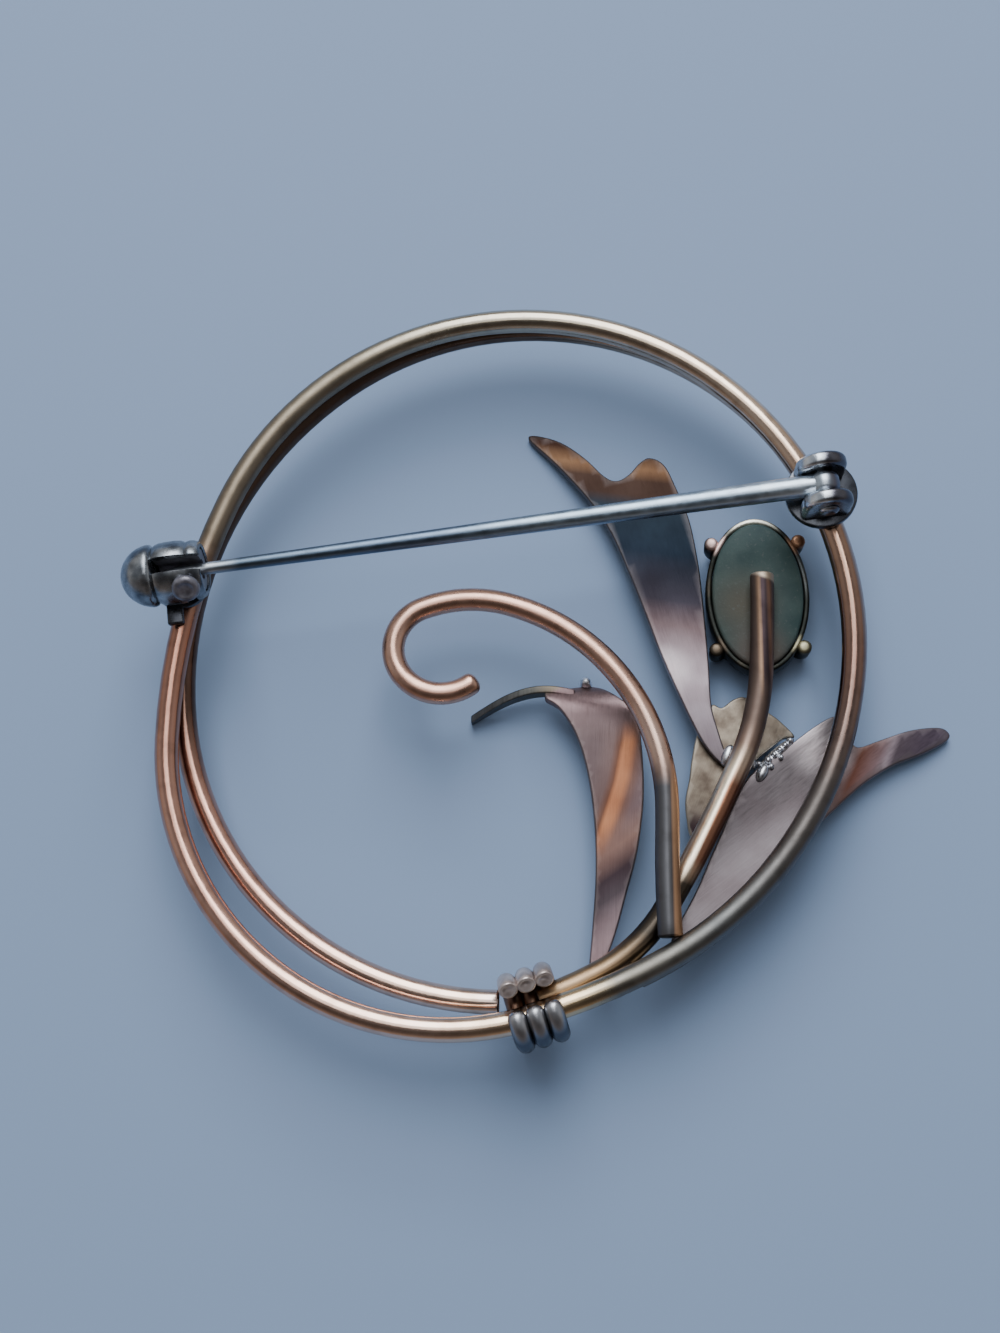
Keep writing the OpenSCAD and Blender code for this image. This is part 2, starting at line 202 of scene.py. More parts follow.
def soften(piece, width, segments=3, **settings):
    """Rounds a piece's sharp edges to a width in millimetres."""
    apply_modifier(
        piece, "BEVEL", width=width * MM, segments=segments, limit_method="ANGLE",
        angle_limit=radians(50), **settings,
    )


def join(pieces, name):
    pick(pieces[0])
    for piece in pieces[1:]:
        piece.select_set(True)
    bpy.ops.object.join()
    pieces[0].name = name
    pieces[0].data.name = name
    return pieces[0]


def put(piece, matrix):
    """Turns and moves a piece that was made at the origin, and keeps its object there."""
    pick(piece)
    piece.matrix_world = matrix
    bpy.ops.object.transform_apply(location=True, rotation=True, scale=True)
    return piece


def copy_of(piece, matrix):
    """A copy with its own mesh, turned and moved by the matrix."""
    pick(piece)
    bpy.ops.object.duplicate(linked=False)
    return put(bpy.context.object, matrix)


def block(name, size, centre=(0, 0, 0)):
    """A cube stretched to a size in millimetres."""
    deselect()
    bpy.ops.mesh.primitive_cube_add(size=MM, location=tuple(c * MM for c in centre), scale=size)
    return named(name)


def axes(origin, x, y, z):
    """The matrix that puts a piece's own axes on three directions."""
    return Matrix.Translation(origin) @ Matrix((x, y, z)).transposed().to_4x4()


class BendingPlane:
    """The plane that a wire is bent in."""

    def __init__(self, origin, right, up):
        self.origin = origin
        self.right = right
        self.up = up
        self.axis = right.cross(up)

    def point(self, x, y):
        return self.origin + (self.right * x + self.up * y) * MM

    def direction(self, degrees):
        return self.right * cos(radians(degrees)) + self.up * sin(radians(degrees))


def ring_plane(level):
    return BendingPlane(place(0, 0, level), ALONG_X, ALONG_Y)


def extrude(run):
    bpy.ops.mesh.extrude_region_move(TRANSFORM_OT_translate={"value": run})


def shrink(share, centre):
    bpy.ops.transform.resize(value=(share, share, share), center_override=centre)


def file_end(centre, direction, steps):
    """Carries an open end on by short steps, each (length, share of the last width), and closes it."""
    for length, share in steps:
        extrude(direction * length * MM)
        centre = centre + direction * length * MM
        shrink(share, centre)
    bpy.ops.mesh.edge_face_add()


# Ends of a wire, cut and filed or rounded
FILED = [(0.03, 0.985), (0.04, 0.95), (0.04, 0.87)]
ROUNDED = [(0.12, 0.97), (0.12, 0.9), (0.1, 0.78), (0.07, 0.6)]


def bend_wire(name, plane, path, diameter=RING_WIRE, end_diameter=None, facet=3, sides=28,
              start_end=FILED, last_end=FILED):
    """A round wire: a circle across its start, spun about each bend's centre or carried straight on."""
    (x, y, aim), *bends = path
    origin = plane.point(x, y)
    first = plane.direction(aim)
    deselect()
    bpy.ops.mesh.primitive_circle_add(
        vertices=sides, radius=diameter / 2 * MM, location=origin,
        rotation=Matrix((plane.axis, first.cross(plane.axis), first)).transposed().to_euler(),
    )
    wire = named(name)
    edit(wire)
    taper = ((end_diameter or diameter) / diameter) ** (1 / len(bends))
    end = origin
    for radius, turn in bends:
        if turn == 0:
            run = plane.direction(aim) * radius * MM
            extrude(run)
            end = end + run
        else:
            side = copysign(radius, turn) * MM
            centre = end + plane.direction(aim + 90) * side
            steps = max(3, ceil(abs(turn) / facet))
            bpy.ops.mesh.spin(steps=steps, angle=-radians(turn), center=centre, axis=plane.axis)
            aim += turn
            end = centre - plane.direction(aim + 90) * side
        shrink(taper, end)
    file_end(end, plane.direction(aim), last_end)
    reach = diameter * 0.6 * MM
    flat = 0.001 * MM
    choose(wire, lambda co: (co - origin).length < reach and abs((co - origin).dot(first)) < flat)
    file_end(origin, -first, start_end)
    return close_up(wire)


def turned(name, rings, sides=40, closed=False):
    """A shape turned round an upright axis, from rings (height, radius) or (height, radius, other radius).

    A closed shape ends with its first ring, as a tube does, and any other gets a face at each end.
    """
    rings = [(*ring, ring[1])[:3] for ring in rings]
    height, across, along = rings[0]
    deselect()
    bpy.ops.mesh.primitive_circle_add(vertices=sides, radius=MM, location=(0, 0, height * MM))
    piece = named(name)
    edit(piece)
    bpy.ops.transform.resize(value=(across, along, 1), center_override=(0, 0, height * MM))
    for next_height, next_across, next_along in rings[1:]:
        extrude((0, 0, (next_height - height) * MM))
        bpy.ops.transform.resize(
            value=(next_across / across, next_along / along, 1), center_override=(0, 0, next_height * MM)
        )
        height, across, along = next_height, next_across, next_along
    if not closed:
        bpy.ops.mesh.edge_face_add()
        low = rings[0][0] * MM
        width = max(rings[0][1:]) * MM
        near = 0.001 * MM
        choose(piece, lambda co: abs(co.z - low) < near and co.xy.length < width + near)
        bpy.ops.mesh.edge_face_add()
    return close_up(piece)


def smooth_outline(points, count=5):
    """A closed smooth curve through an outline's points."""
    curve = []
    for i in range(len(points)):
        a, b, c, d = (Vector(points[(i + k) % len(points)]) for k in (-1, 0, 1, 2))
        for k in range(count):
            t = k / count
            curve.append(0.5 * (
                2 * b + (c - a) * t + (2 * a - 5 * b + 4 * c - d) * t ** 2 + (3 * b - 3 * c + d - a) * t ** 3
            ))
    return curve


def stamped_sheet(name, outline, form):
    """A leaf of sheet: its filled outline is cut into a grid, formed to its heights and given its wall."""
    points = smooth_outline(outline)
    deselect()
    bpy.ops.mesh.primitive_circle_add(vertices=len(points), radius=MM)
    leaf = named(name)
    for vertex, point in zip(leaf.data.vertices, points):
        vertex.co = place(point.x, point.y, 0)
    edit(leaf)
    bpy.ops.mesh.edge_face_add()
    for turn in (0, 90):
        normal = heading(form.get("grid", form["aim"]) + turn)
        spans = [place(p.x, p.y, 0).dot(normal) / MM for p in points]
        for k in range(1, floor((max(spans) - min(spans)) / form["mesh"]) + 1):
            bpy.ops.mesh.select_all(action="SELECT")
            bpy.ops.mesh.bisect(plane_co=normal * (min(spans) + k * form["mesh"]) * MM, plane_no=normal)
    bpy.ops.mesh.select_all(action="SELECT")
    bpy.ops.mesh.remove_doubles(threshold=0.05 * MM)
    bpy.ops.mesh.normals_make_consistent(inside=False)
    mesh = bmesh.from_edit_mesh(leaf.data)
    mesh.faces.ensure_lookup_table()
    if mesh.faces[0].normal.z < 0:
        bpy.ops.mesh.flip_normals()
    mesh = bmesh.from_edit_mesh(leaf.data)
    for vertex in mesh.verts:
        x = vertex.co.x / MM + PLAN_CENTRE[0]
        y = vertex.co.y / MM + PLAN_CENTRE[1]
        vertex.co.z = sheet_height(form, x, y) * MM
    bmesh.update_edit_mesh(leaf.data)
    apply_modifier(leaf, "SOLIDIFY", thickness=form["sheet"] * MM, offset=-1)
    soften(leaf, SHEET_ROUNDING, use_clamp_overlap=False, loop_slide=False)
    return mark_edge(close_up(leaf, 50), points)


def mark_edge(leaf, points):
    """An attribute that is 1 along the sheet's rim and 0 on its faces."""
    rim = [place(p.x, p.y, 0).xy for p in points]
    ends = rim[1:] + rim[:1]
    marks = leaf.data.attributes.new("edge", "FLOAT", "POINT")
    for vertex, mark in zip(leaf.data.vertices, marks.data):
        near = min((vertex.co.xy - closest_on_edge(vertex.co.xy, a, b)).length for a, b in zip(rim, ends))
        mark.value = max(0.0, 1 - near / (RUB_AND_SHEEN_WIDTH * MM))
    return leaf


def closest_on_edge(point, start, end):
    run = end - start
    share = min(max((point - start).dot(run) / max(run.length_squared, 1e-18), 0), 1)
    return start + run * share


def sheet_height(form, x, y):
    """Height of a leaf's upper side: it falls along its length and bends up or down at both edges."""
    aim = radians(form["aim"])
    dx = x - form["base"][0]
    dy = y - form["base"][1]
    along = dx * cos(aim) + dy * sin(aim)
    across = -dx * sin(aim) + dy * cos(aim)
    side = (across - form["middle"]) / form["half"]
    fall = form["drop"] * (max(along, 0) / form["length"]) ** 2
    if "roll" in form:
        past = min(max(along - form["roll_from"], 0), 0.95 * form["roll"])
        fall += form["roll"] - sqrt(form["roll"] ** 2 - past ** 2)
    return form["level"] - fall + form["rise"] * side ** 2 / (1 + side ** 2)


# A leaf's base, direction, length and half width in the plan, its heights, and the grid that it is cut into
LEAF_FORM = {"level": LEAF_TOP, "rise": 0.3, "sheet": LEAF_SHEET, "mesh": 0.45}
CENTRE_LEAF_FORM = {
    **LEAF_FORM, "base": (10.0, -5.4), "aim": 105, "length": 19.5, "middle": 0, "half": 2.2, "drop": 1.79,
}
# The left leaf rolls over at its top, and its grid crosses its outline at a slant everywhere
LEFT_LEAF_FORM = {
    **LEAF_FORM, "base": (2.6, -16.9), "aim": 88, "length": 16.0, "middle": -0.8, "half": 2.0, "drop": 0.5,
    "roll_from": 14.6, "roll": 1.7, "grid": 60, "mesh": 0.3,
}
RIGHT_LEAF_FORM = {
    **LEAF_FORM, "base": (7.0, -15.1), "aim": 38, "length": 19.0, "middle": 2.0, "half": 2.3, "drop": 2.085,
}
CALYX_FORM = {
    "base": (10.4, -7.2), "aim": 66, "length": 6.2, "middle": 0, "half": 2.2, "drop": 0.9,
    "level": 2.06, "rise": -0.3, "sheet": CALYX_SHEET, "mesh": 0.3,
}
CENTRE_LEAF_OUTLINE = [
    (10.1, -5.6), (9.7, -4.0), (9.3, -2.3), (9.2, 0.3), (9.0, 3.8), (8.8, 6.2), (8.4, 8.7), (7.7, 10.8),
    (7.1, 12.2), (6.3, 12.7), (5.7, 12.4), (5.1, 11.7), (4.4, 11.3), (3.7, 11.6), (2.6, 12.8), (1.2, 13.9),
    (-0.3, 14.4), (-0.6, 14.1), (0.6, 12.8), (1.7, 11.5), (2.9, 9.9), (4.0, 8.0), (4.9, 5.7), (5.75, 3.3),
    (6.55, 0.9), (7.45, -1.4), (8.55, -3.9), (9.4, -5.2),
]
LEFT_LEAF_OUTLINE = [
    (2.5, -16.6), (2.7, -14.2), (2.9, -11.5), (2.9, -9.0), (2.7, -6.8), (2.4, -5.2), (2.0, -3.9), (1.5, -2.9),
    (0.9, -2.1), (0.3, -1.6), (0.4, -1.0), (1.4, -1.0), (2.5, -0.8), (3.3, -0.9), (4.1, -1.4), (4.8, -2.1),
    (5.3, -3.1), (5.5, -4.9), (5.5, -7.4), (5.1, -10.2), (4.5, -12.4), (3.9, -14.5), (3.4, -15.8),
    (2.9, -16.5),
]
RIGHT_LEAF_OUTLINE = [
    (6.9, -15.2), (7.9, -14.9), (9.5, -13.5), (11.5, -11.8), (13.8, -9.6), (15.4, -8.2), (16.5, -7.2),
    (17.6, -6.3), (19.1, -5.4), (20.8, -4.7), (22.2, -3.9), (22.2, -3.4), (21.6, -3.2), (20.1, -3.4),
    (18.4, -4.0), (17.2, -4.4), (16.8, -3.8), (16.6, -2.9), (16.0, -2.7), (14.9, -3.3), (13.2, -4.6),
    (11.2, -6.15), (10.1, -8.1), (9.6, -9.25), (9.0, -10.5), (8.35, -11.95), (7.8, -13.0), (6.9, -14.6),
]
CALYX_OUTLINE = [
    (8.9, -8.6), (8.35, -9.4), (7.95, -9.3), (7.8, -8.5), (7.75, -7.4), (8.0, -6.2), (8.15, -5.2),
    (8.5, -3.7), (9.0, -3.4), (9.35, -2.0), (9.9, -2.15), (10.5, -1.7), (11.1, -1.5), (11.6, -1.75),
    (12.5, -2.5), (13.0, -2.9), (13.8, -3.8), (13.2, -3.95), (12.6, -4.4), (11.8, -5.05), (11.0, -5.75),
    (10.1, -6.7), (9.4, -7.6),
]

# Tones round the setting: (x, y, radius, colour); the first paints a pale highlight on the rim's top, and the
# four prong tones are painted light and shade
SETTING_TONES = [
    (11.8, 8.35, 1.9, (0.84, 0.8, 0.66)), (14.7, 5.4, 2.0, (0.085, 0.092, 0.09)),
    (9.85, 7.0, 0.85, (0.8, 0.56, 0.5)), (14.3, 6.95, 0.85, (0.44, 0.23, 0.13)),
    (14.3, 1.05, 0.75, (0.42, 0.38, 0.24)), (9.75, 1.05, 0.75, (0.11, 0.08, 0.055)),
]

# Solder lies in drops: (x, y, z, width, length, height, turn)
SOLDER_DROPS = [
    (10.05, -5.05, 2.4, 0.62, 1.3, 0.3, -22), (11.9, -5.95, 2.05, 0.6, 1.15, 0.34, -30),
    (11.35, -5.35, 1.9, 0.5, 0.8, 0.35, 20), (12.25, -5.25, 1.92, 0.46, 0.5, 0.32, 0),
    (12.6, -4.95, 1.88, 0.36, 0.42, 0.3, 30), (12.9, -4.68, 1.86, 0.44, 0.36, 0.34, 0),
    (13.2, -4.42, 1.84, 0.34, 0.4, 0.28, -40), (13.48, -4.15, 1.8, 0.38, 0.34, 0.28, 0),
    (12.4, -5.6, 1.98, 0.34, 0.4, 0.26, 15), (12.95, -5.1, 1.95, 0.3, 0.34, 0.24, 0),
    (2.5, -0.64, 1.15, 0.7, 0.7, 0.55, 0), (12.6, -5.0, 1.72, 0.62, 3.0, 0.26, -48),
    (11.75, -5.45, 1.95, 0.34, 0.42, 0.3, 60),
]

# The left leaf's tip stands on edge: (x, y, lower edge, upper edge)
TIP_ROWS = [
    (1.9, -1.35, 1.0, 1.9), (0.7, -1.1, 0.95, 2.0), (-0.5, -1.12, 0.8, 1.95), (-1.7, -1.43, 0.6, 1.7),
    (-2.8, -1.93, 0.3, 1.3), (-3.9, -2.5, 0, 0.75),
]


def add(tree, kind, inputs=None, **settings):
    """Adds a shader node; an input may be another node's output or a plain value."""
    made = tree.nodes.new("ShaderNode" + kind)
    for key, value in settings.items():
        setattr(made, key, value)
    for key, value in (inputs or {}).items():
        if isinstance(value, bpy.types.NodeSocket):
            tree.links.new(value, made.inputs[key])
        else:
            made.inputs[key].default_value = value
    return made


def new_finish(name, **shader_inputs):
    finish = bpy.data.materials.new(name)
    finish.use_nodes = True
    tree = finish.node_tree
    shader = tree.nodes["Principled BSDF"]
    for key, value in shader_inputs.items():
        shader.inputs[key].default_value = value
    return finish, tree, shader


def coordinate(tree, axis, kind="Object"):
    """X, Y or Z of the object's own coordinates."""
    where = add(tree, "TexCoord").outputs[kind]
    return add(tree, "SeparateXYZ", {"Vector": where}).outputs[axis]


def calculate(tree, operation, first, second):
    return add(tree, "Math", {0: first, 1: second}, operation=operation).outputs["Value"]


def grain(tree, size, detail=4, stretch=(1, 1, 1), turn=0):
    """Noise on the object's own coordinates, with features of a size in millimetres."""
    where = add(tree, "TexCoord").outputs["Object"]
    mapped = add(tree, "Mapping", {"Vector": where, "Rotation": (0, 0, radians(-turn))})
    squeezed = add(tree, "VectorMath", {
        0: mapped.outputs["Vector"], 1: tuple(1 / (size * MM * s) for s in stretch),
    }, operation="MULTIPLY")
    return add(tree, "TexNoise", {
        "Vector": squeezed.outputs["Vector"], "Scale": 1.0, "Detail": detail, "Roughness": 0.5,
    }).outputs["Fac"]


def ramp(tree, factor, stops):
    """Colours along a factor: each stop is (position, red, green, blue)."""
    made = add(tree, "ValToRGB", {"Fac": factor})
    elements = made.color_ramp.elements
    while len(elements) < len(stops):
        elements.new(0.5)
    for element, (position, *colour) in zip(elements, stops):
        element.position = position
        element.color = (*colour, 1)
    return made.outputs["Color"]


def grey_ramp(tree, factor, stops):
    return ramp(tree, factor, [(position, grey, grey, grey) for position, grey in stops])


def rescale(tree, value, low, high, to_low=0, to_high=1, **settings):
    return add(tree, "MapRange", {
        "Value": value, "From Min": low, "From Max": high, "To Min": to_low, "To Max": to_high,
    }, **settings).outputs["Result"]


def blend(tree, factor, first, second, how="MIX"):
    made = add(tree, "Mix", {"Factor": factor}, data_type="RGBA", blend_type=how)
    for socket, value in ((made.inputs[6], first), (made.inputs[7], second)):
        if isinstance(value, bpy.types.NodeSocket):
            tree.links.new(value, socket)
        else:
            socket.default_value = (*value, 1)
    return made.outputs[2]


def share_along(tree, start, end):
    """0 at one point of the plan and 1 at another, measured along the line between them."""
    where = add(tree, "TexCoord").outputs["Object"]
    origin = place(*start)
    run = place(*end) - origin
    moved = add(tree, "VectorMath", {0: where, 1: origin}, operation="SUBTRACT")
    return add(tree, "VectorMath", {
        0: moved.outputs["Vector"], 1: run / run.length_squared,
    }, operation="DOT_PRODUCT").outputs["Value"]


def dab(tree, tone, centre, radius, colour):
    """A tone with a soft round spot of another colour, by its centre in the plan and its radius."""
    where = add(tree, "TexCoord").outputs["Object"]
    far = add(tree, "VectorMath", {0: where, 1: place(*centre)}, operation="DISTANCE")
    spot = rescale(tree, far.outputs["Value"], 0, radius * MM, 1, 0, interpolation_type="SMOOTHSTEP")
    return blend(tree, spot, tone, colour)


def mottled(tree, size, first, second, start=0.35, end=0.65):
    """Two tones in soft patches of a size in millimetres."""
    return ramp(tree, grain(tree, size), [(start, *first), (end, *second)])


def multiplied(tree, first, second):
    return blend(tree, 1.0, first, second, "MULTIPLY")


def paint(tree, shader, tone):
    tree.links.new(tone, shader.inputs["Base Color"])


def roughen(tree, shader, noise, low, high):
    """Roughness that wanders between two values with a noise."""
    tree.links.new(rescale(tree, noise, 0.3, 0.7, low, high), shader.inputs["Roughness"])


def bump(tree, shader, height, depth):
    """Relief with a depth in millimetres."""
    made = add(tree, "Bump", {"Height": height, "Strength": 1.0, "Distance": depth * MM})
    tree.links.new(made.outputs["Normal"], shader.inputs["Normal"])


def between(tree, start, end):
    """0 at one y of the plan and 1 at another, with no more or less beyond them."""
    return rescale(tree, coordinate(tree, "Y"), place(0, start, 0).y, place(0, end, 0).y)


def around(tree):
    """Share of a turn round the brooch, from 0 at its right over its top."""
    angle = calculate(tree, "ARCTAN2", coordinate(tree, "Y"), coordinate(tree, "X"))
    return calculate(tree, "FLOORED_MODULO", calculate(tree, "DIVIDE", angle, tau), 1.0)


def scratched(tree, colour, dark, amount, turn=0):
    """Fine rubbed lines and a little dirt over a metal's colour."""
    rubbed = rescale(tree, grain(tree, 0.07, 2, stretch=(14, 1, 1), turn=turn), 0.35, 0.65, 0, amount)
    dirty = rescale(tree, grain(tree, 1.3, 5), 0.52, 0.8, 0, 0.6)
    worn = blend(tree, rubbed, colour, blend(tree, 0.5, colour, dark))
    return blend(tree, dirty, worn, dark)


def gold_finish(name, colour_of, dull_of, gloss=(0.15, 0.26)):
    """Rolled gold whose colour, and how dull it is from 0 to 1, come from functions of its node tree."""
    finish, tree, shader = new_finish(name, Metallic=1.0)
    tone = colour_of(tree)
    paint(tree, shader, scratched(tree, tone, multiplied(tree, tone, (0.45, 0.42, 0.4)), 0.15))
    polish = rescale(tree, grain(tree, 0.6, 5), 0.3, 0.75, *gloss)
    duller = calculate(tree, "ADD", polish, calculate(tree, "MULTIPLY", dull_of(tree), 0.22))
    tree.links.new(duller, shader.inputs["Roughness"])
    return finish


def ring_colour(tree):
    """The ring wires' colour goes from copper at the sides to olive at the upper left and the lower right,
    where it is painted dark as shade to put out the highlights there.
    """
    # The stops from 0.33 to 0.44 and from 0.785 to 0.93 are painted shade
    tone = ramp(tree, around(tree), [
        (0.0, 0.27, 0.155, 0.118), (0.08, 0.42, 0.26, 0.18), (0.14, 0.82, 0.62, 0.47),
        (0.25, 0.52, 0.46, 0.36), (0.33, 0.27, 0.23, 0.17), (0.44, 0.21, 0.165, 0.12),
        (0.485, 0.4, 0.19, 0.13), (0.6, 0.66, 0.38, 0.29), (0.7, 0.84, 0.6, 0.48), (0.765, 0.72, 0.55, 0.33),
        (0.785, 0.22, 0.2, 0.165), (0.84, 0.16, 0.16, 0.155), (0.93, 0.13, 0.11, 0.1),
        (1.0, 0.27, 0.155, 0.118),
    ])
    return dab(tree, tone, (-2.2, -17.9, 3.9), 1.9, (0.72, 0.56, 0.5))


def front_ring_colour(tree):
    """The front wire is as the back one, but painted dull brown as shade where it lies under that one at the
    upper left.
    """
    # Painted shade under the back wire
    dull = grey_ramp(tree, around(tree), [(0.18, 0), (0.25, 0.9), (0.52, 0.9), (0.56, 0)])
    return blend(tree, dull, ring_colour(tree), (0.1, 0.06, 0.045))


def ring_dullness(tree):
    """The ring wires are worn dull at the upper left and the lower right."""
    return grey_ramp(tree, around(tree), [
        (0.28, 0), (0.34, 1), (0.45, 1), (0.49, 0), (0.77, 0), (0.8, 1), (0.93, 1), (0.97, 0),
    ])


def scroll_colour(tree):
    """Rose gold; the foot is painted dark as shade, with a painted reflection across it: slate grey on its
    left and copper on its right.
    """
    up = share_along(tree, (6.7, -14.5, 4.6), (6.7, -2.0, 4.6))
    upper = ramp(tree, up, [(0.5, 0.46, 0.28, 0.2), (0.8, 0.66, 0.45, 0.36), (1.0, 0.6, 0.36, 0.27)])
    across = share_along(tree, (6.6, -9, 4.6), (7.1, -9, 4.6))
    # Painted reflection across the foot: grey on the side facing left, copper on the side facing right
    foot = ramp(tree, across, [
        (0.0, 0.12, 0.118, 0.125), (0.2, 0.08, 0.078, 0.08), (0.45, 0.09, 0.08, 0.08), (0.7, 0.5, 0.29, 0.17),
    ])
    return blend(tree, foot_of_scroll(tree), upper, foot)


def foot_of_scroll(tree):
    """1 on the scroll's foot and 0 above it."""
    return between(tree, -5.6, -7.2)


def up_stem(tree):
    return share_along(tree, (4.0, -17.0, 3.2), (12.2, 4.8, 3.2))


def top_of_stem(tree):
    """1 on the stem's dull upper part and 0 below it."""
    return rescale(tree, up_stem(tree), 0.56, 0.66)


def stem_colour(tree):
    """Olive at the foot, then a painted highlight, cream beside copper, and on the upper part a painted
    reflection, brown with a dark middle line; the cut end is painted pale as its lit face.
    """
    up = up_stem(tree)
    tone = ramp(tree, up, [
        (0.0, 0.36, 0.24, 0.14), (0.12, 0.08, 0.066, 0.052), (0.25, 0.1, 0.075, 0.056), (0.3, 0.92, 0.7, 0.5),
        (0.52, 0.94, 0.76, 0.57), (0.6, 0.32, 0.22, 0.17), (0.66, 0.17, 0.12, 0.098),
        (0.985, 0.15, 0.112, 0.095), (0.992, 0.62, 0.5, 0.38),
    ])
    # Painted highlight on the lower stem: cream on its left half, copper on its right
    low_across = share_along(tree, (7.47, -10.86, 3.2), (8.455, -11.32, 3.2))
    painted_highlight_halves = ramp(tree, low_across, [
        (0.0, 0.8, 0.6, 0.42), (0.12, 1.0, 0.86, 0.66), (0.46, 1.0, 0.84, 0.64), (0.6, 0.42, 0.2, 0.12),
        (1.0, 0.26, 0.12, 0.08),
    ])
    low = grey_ramp(tree, up, [(0.25, 0), (0.31, 1), (0.5, 1), (0.58, 0)])
    tone = blend(tree, low, tone, painted_highlight_halves)
    # Painted reflection on the upper stem: copper at both sides and a dark middle line
    high_across = share_along(tree, (11.55, 3, 3.2), (12.8, 3, 3.2))
    lines = ramp(tree, high_across, [
        (0.14, 0.15, 0.105, 0.085), (0.3, 0.32, 0.2, 0.13), (0.42, 0.06, 0.042, 0.046),
        (0.6, 0.06, 0.042, 0.046), (0.75, 0.27, 0.155, 0.11), (0.95, 0.12, 0.09, 0.08),
    ])
    high = grey_ramp(tree, up, [(0.7, 0), (0.78, 1), (0.984, 1), (0.99, 0)])
    return blend(tree, high, tone, lines)


def leaf_finish(name, colour_of, aim, gloss=(0.36, 0.5), rim=(0.42, 0.36, 0.35), rim_highlight_share=0.3):
    """Brushed sheet: its colour is darker in the brush lines and in patches, and pale on its rim, partly
    rubbed and partly a painted edge highlight.
    """
    finish, tree, shader = new_finish(name, Metallic=1.0)
    edge = add(tree, "Attribute", attribute_name="edge").outputs["Fac"]
    brushed = grain(tree, 0.09, 3, stretch=(30, 1, 1), turn=aim)
    tone = multiplied(tree, colour_of(tree), grey_ramp(tree, brushed, [(0.3, 0.7), (0.7, 1)]))
    tone = multiplied(tree, tone, mottled(tree, 2.2, (0.78, 0.74, 0.74), (1, 1, 1)))
    paint(tree, shader, blend(tree, rescale(tree, edge, 0, 1, 0, rim_highlight_share), tone, rim))
    roughen(tree, shader, brushed, *gloss)
    bump(tree, shader, brushed, 0.004)
    return finish


def centre_leaf_colour(tree):
    """Silver mauve at the foot, dark slate up to the pin, and brown beyond it with a golden band, all painted
    reflections of the room's bright and dark sides; a pale spot on its left edge is a painted highlight.
    """
    up = share_along(tree, (10.8, -5.9, 0), (14.24, 14.8, 0))
    tone = ramp(tree, up, [
        (0.0, 0.14, 0.115, 0.124), (0.1, 0.21, 0.175, 0.19), (0.22, 0.33, 0.28, 0.3),
        (0.3, 0.19, 0.147, 0.155), (0.36, 0.11, 0.078, 0.08), (0.43, 0.035, 0.031, 0.04),
        (0.56, 0.01, 0.014, 0.021), (0.68, 0.013, 0.019, 0.026), (0.72, 0.03, 0.018, 0.014),
        (0.765, 0.034, 0.02, 0.015), (0.8, 0.12, 0.066, 0.036), (0.845, 0.028, 0.014, 0.01),
        (1.0, 0.03, 0.018, 0.014),
    ])
    return dab(tree, tone, (6.9, -0.3, 2.3), 1.8, (0.5, 0.43, 0.44))


def left_leaf_colour(tree):
    """Mauve with a curved copper band, a dark patch of painted shade in the hollow above its foot, and an
    olive tip.
    """
    curve = grey_ramp(tree, between(tree, -10, -1), [
        (0.0, 0.38), (0.17, 0.55), (0.41, 0.79), (0.66, 0.94), (0.9, 0.97),
    ])
    band = rescale(tree, curve, 0, 1, place(2, 0, 0).x, place(5, 0, 0).x)
    beside = calculate(tree, "SUBTRACT", coordinate(tree, "X"), band)
    across = rescale(tree, beside, -1.7 * MM, 2.3 * MM)
    bands = ramp(tree, across, [
        (0.0, 0.13, 0.096, 0.096), (0.22, 0.13, 0.088, 0.082), (0.31, 0.12, 0.058, 0.04),
        (0.37, 0.36, 0.15, 0.075), (0.47, 0.32, 0.135, 0.07), (0.56, 0.14, 0.078, 0.062),
        (0.66, 0.13, 0.086, 0.085), (0.78, 0.13, 0.092, 0.096), (0.92, 0.06, 0.04, 0.04),
    ])
    foot = share_along(tree, (3.2, -10.5, 0), (5.55, -13.78, 0))
    # Painted shade in the hollow above the foot
    low = ramp(tree, foot, [
        (0.0, 0.19, 0.115, 0.095), (0.28, 0.045, 0.031, 0.036), (0.5, 0.065, 0.05, 0.056),
        (0.9, 0.29, 0.21, 0.22),
    ])
    lowered = rescale(tree, foot, -0.3, 0.0)
    rolled = ramp(tree, between(tree, -4.2, -1.0), [
        (0.0, 0.14, 0.1, 0.096), (0.5, 0.17, 0.12, 0.12), (0.8, 0.3, 0.21, 0.21),
    ])
    body = blend(tree, between(tree, -4.2, -2.9), blend(tree, lowered, bands, low), rolled)
    out = share_along(tree, (2.6, -1.2, 0), (-4.0, -1.2, 0))
    tip = ramp(tree, out, [
        (0.0, 0.22, 0.17, 0.14), (0.25, 0.26, 0.22, 0.16), (0.45, 0.13, 0.13, 0.115),
        (1.0, 0.16, 0.175, 0.19),
    ])
    over = share_along(tree, (0.9, -1.3, 0), (0.78, -1.06, 0))
    return blend(tree, rescale(tree, over, 0, 1), body, tip)


def right_leaf_colour(tree):
    """Silver grey inside the ring, brown and mauve outside it; a pale round spot inside the ring is a painted
    highlight.
    """
    out = share_along(tree, (14.4, -6.88, 0), (19.8, -9.46, 0))
    tone = ramp(tree, out, [
        (0.0, 0.165, 0.142, 0.147), (0.15, 0.165, 0.142, 0.147), (0.3, 0.085, 0.036, 0.026),
        (0.45, 0.11, 0.07, 0.072), (0.52, 0.16, 0.125, 0.138), (0.58, 0.055, 0.042, 0.05),
        (0.8, 0.055, 0.042, 0.056), (1.0, 0.1, 0.08, 0.105),
    ])
    return dab(tree, tone, (15.2, -4.6, 1.9), 2.2, (0.72, 0.64, 0.65))


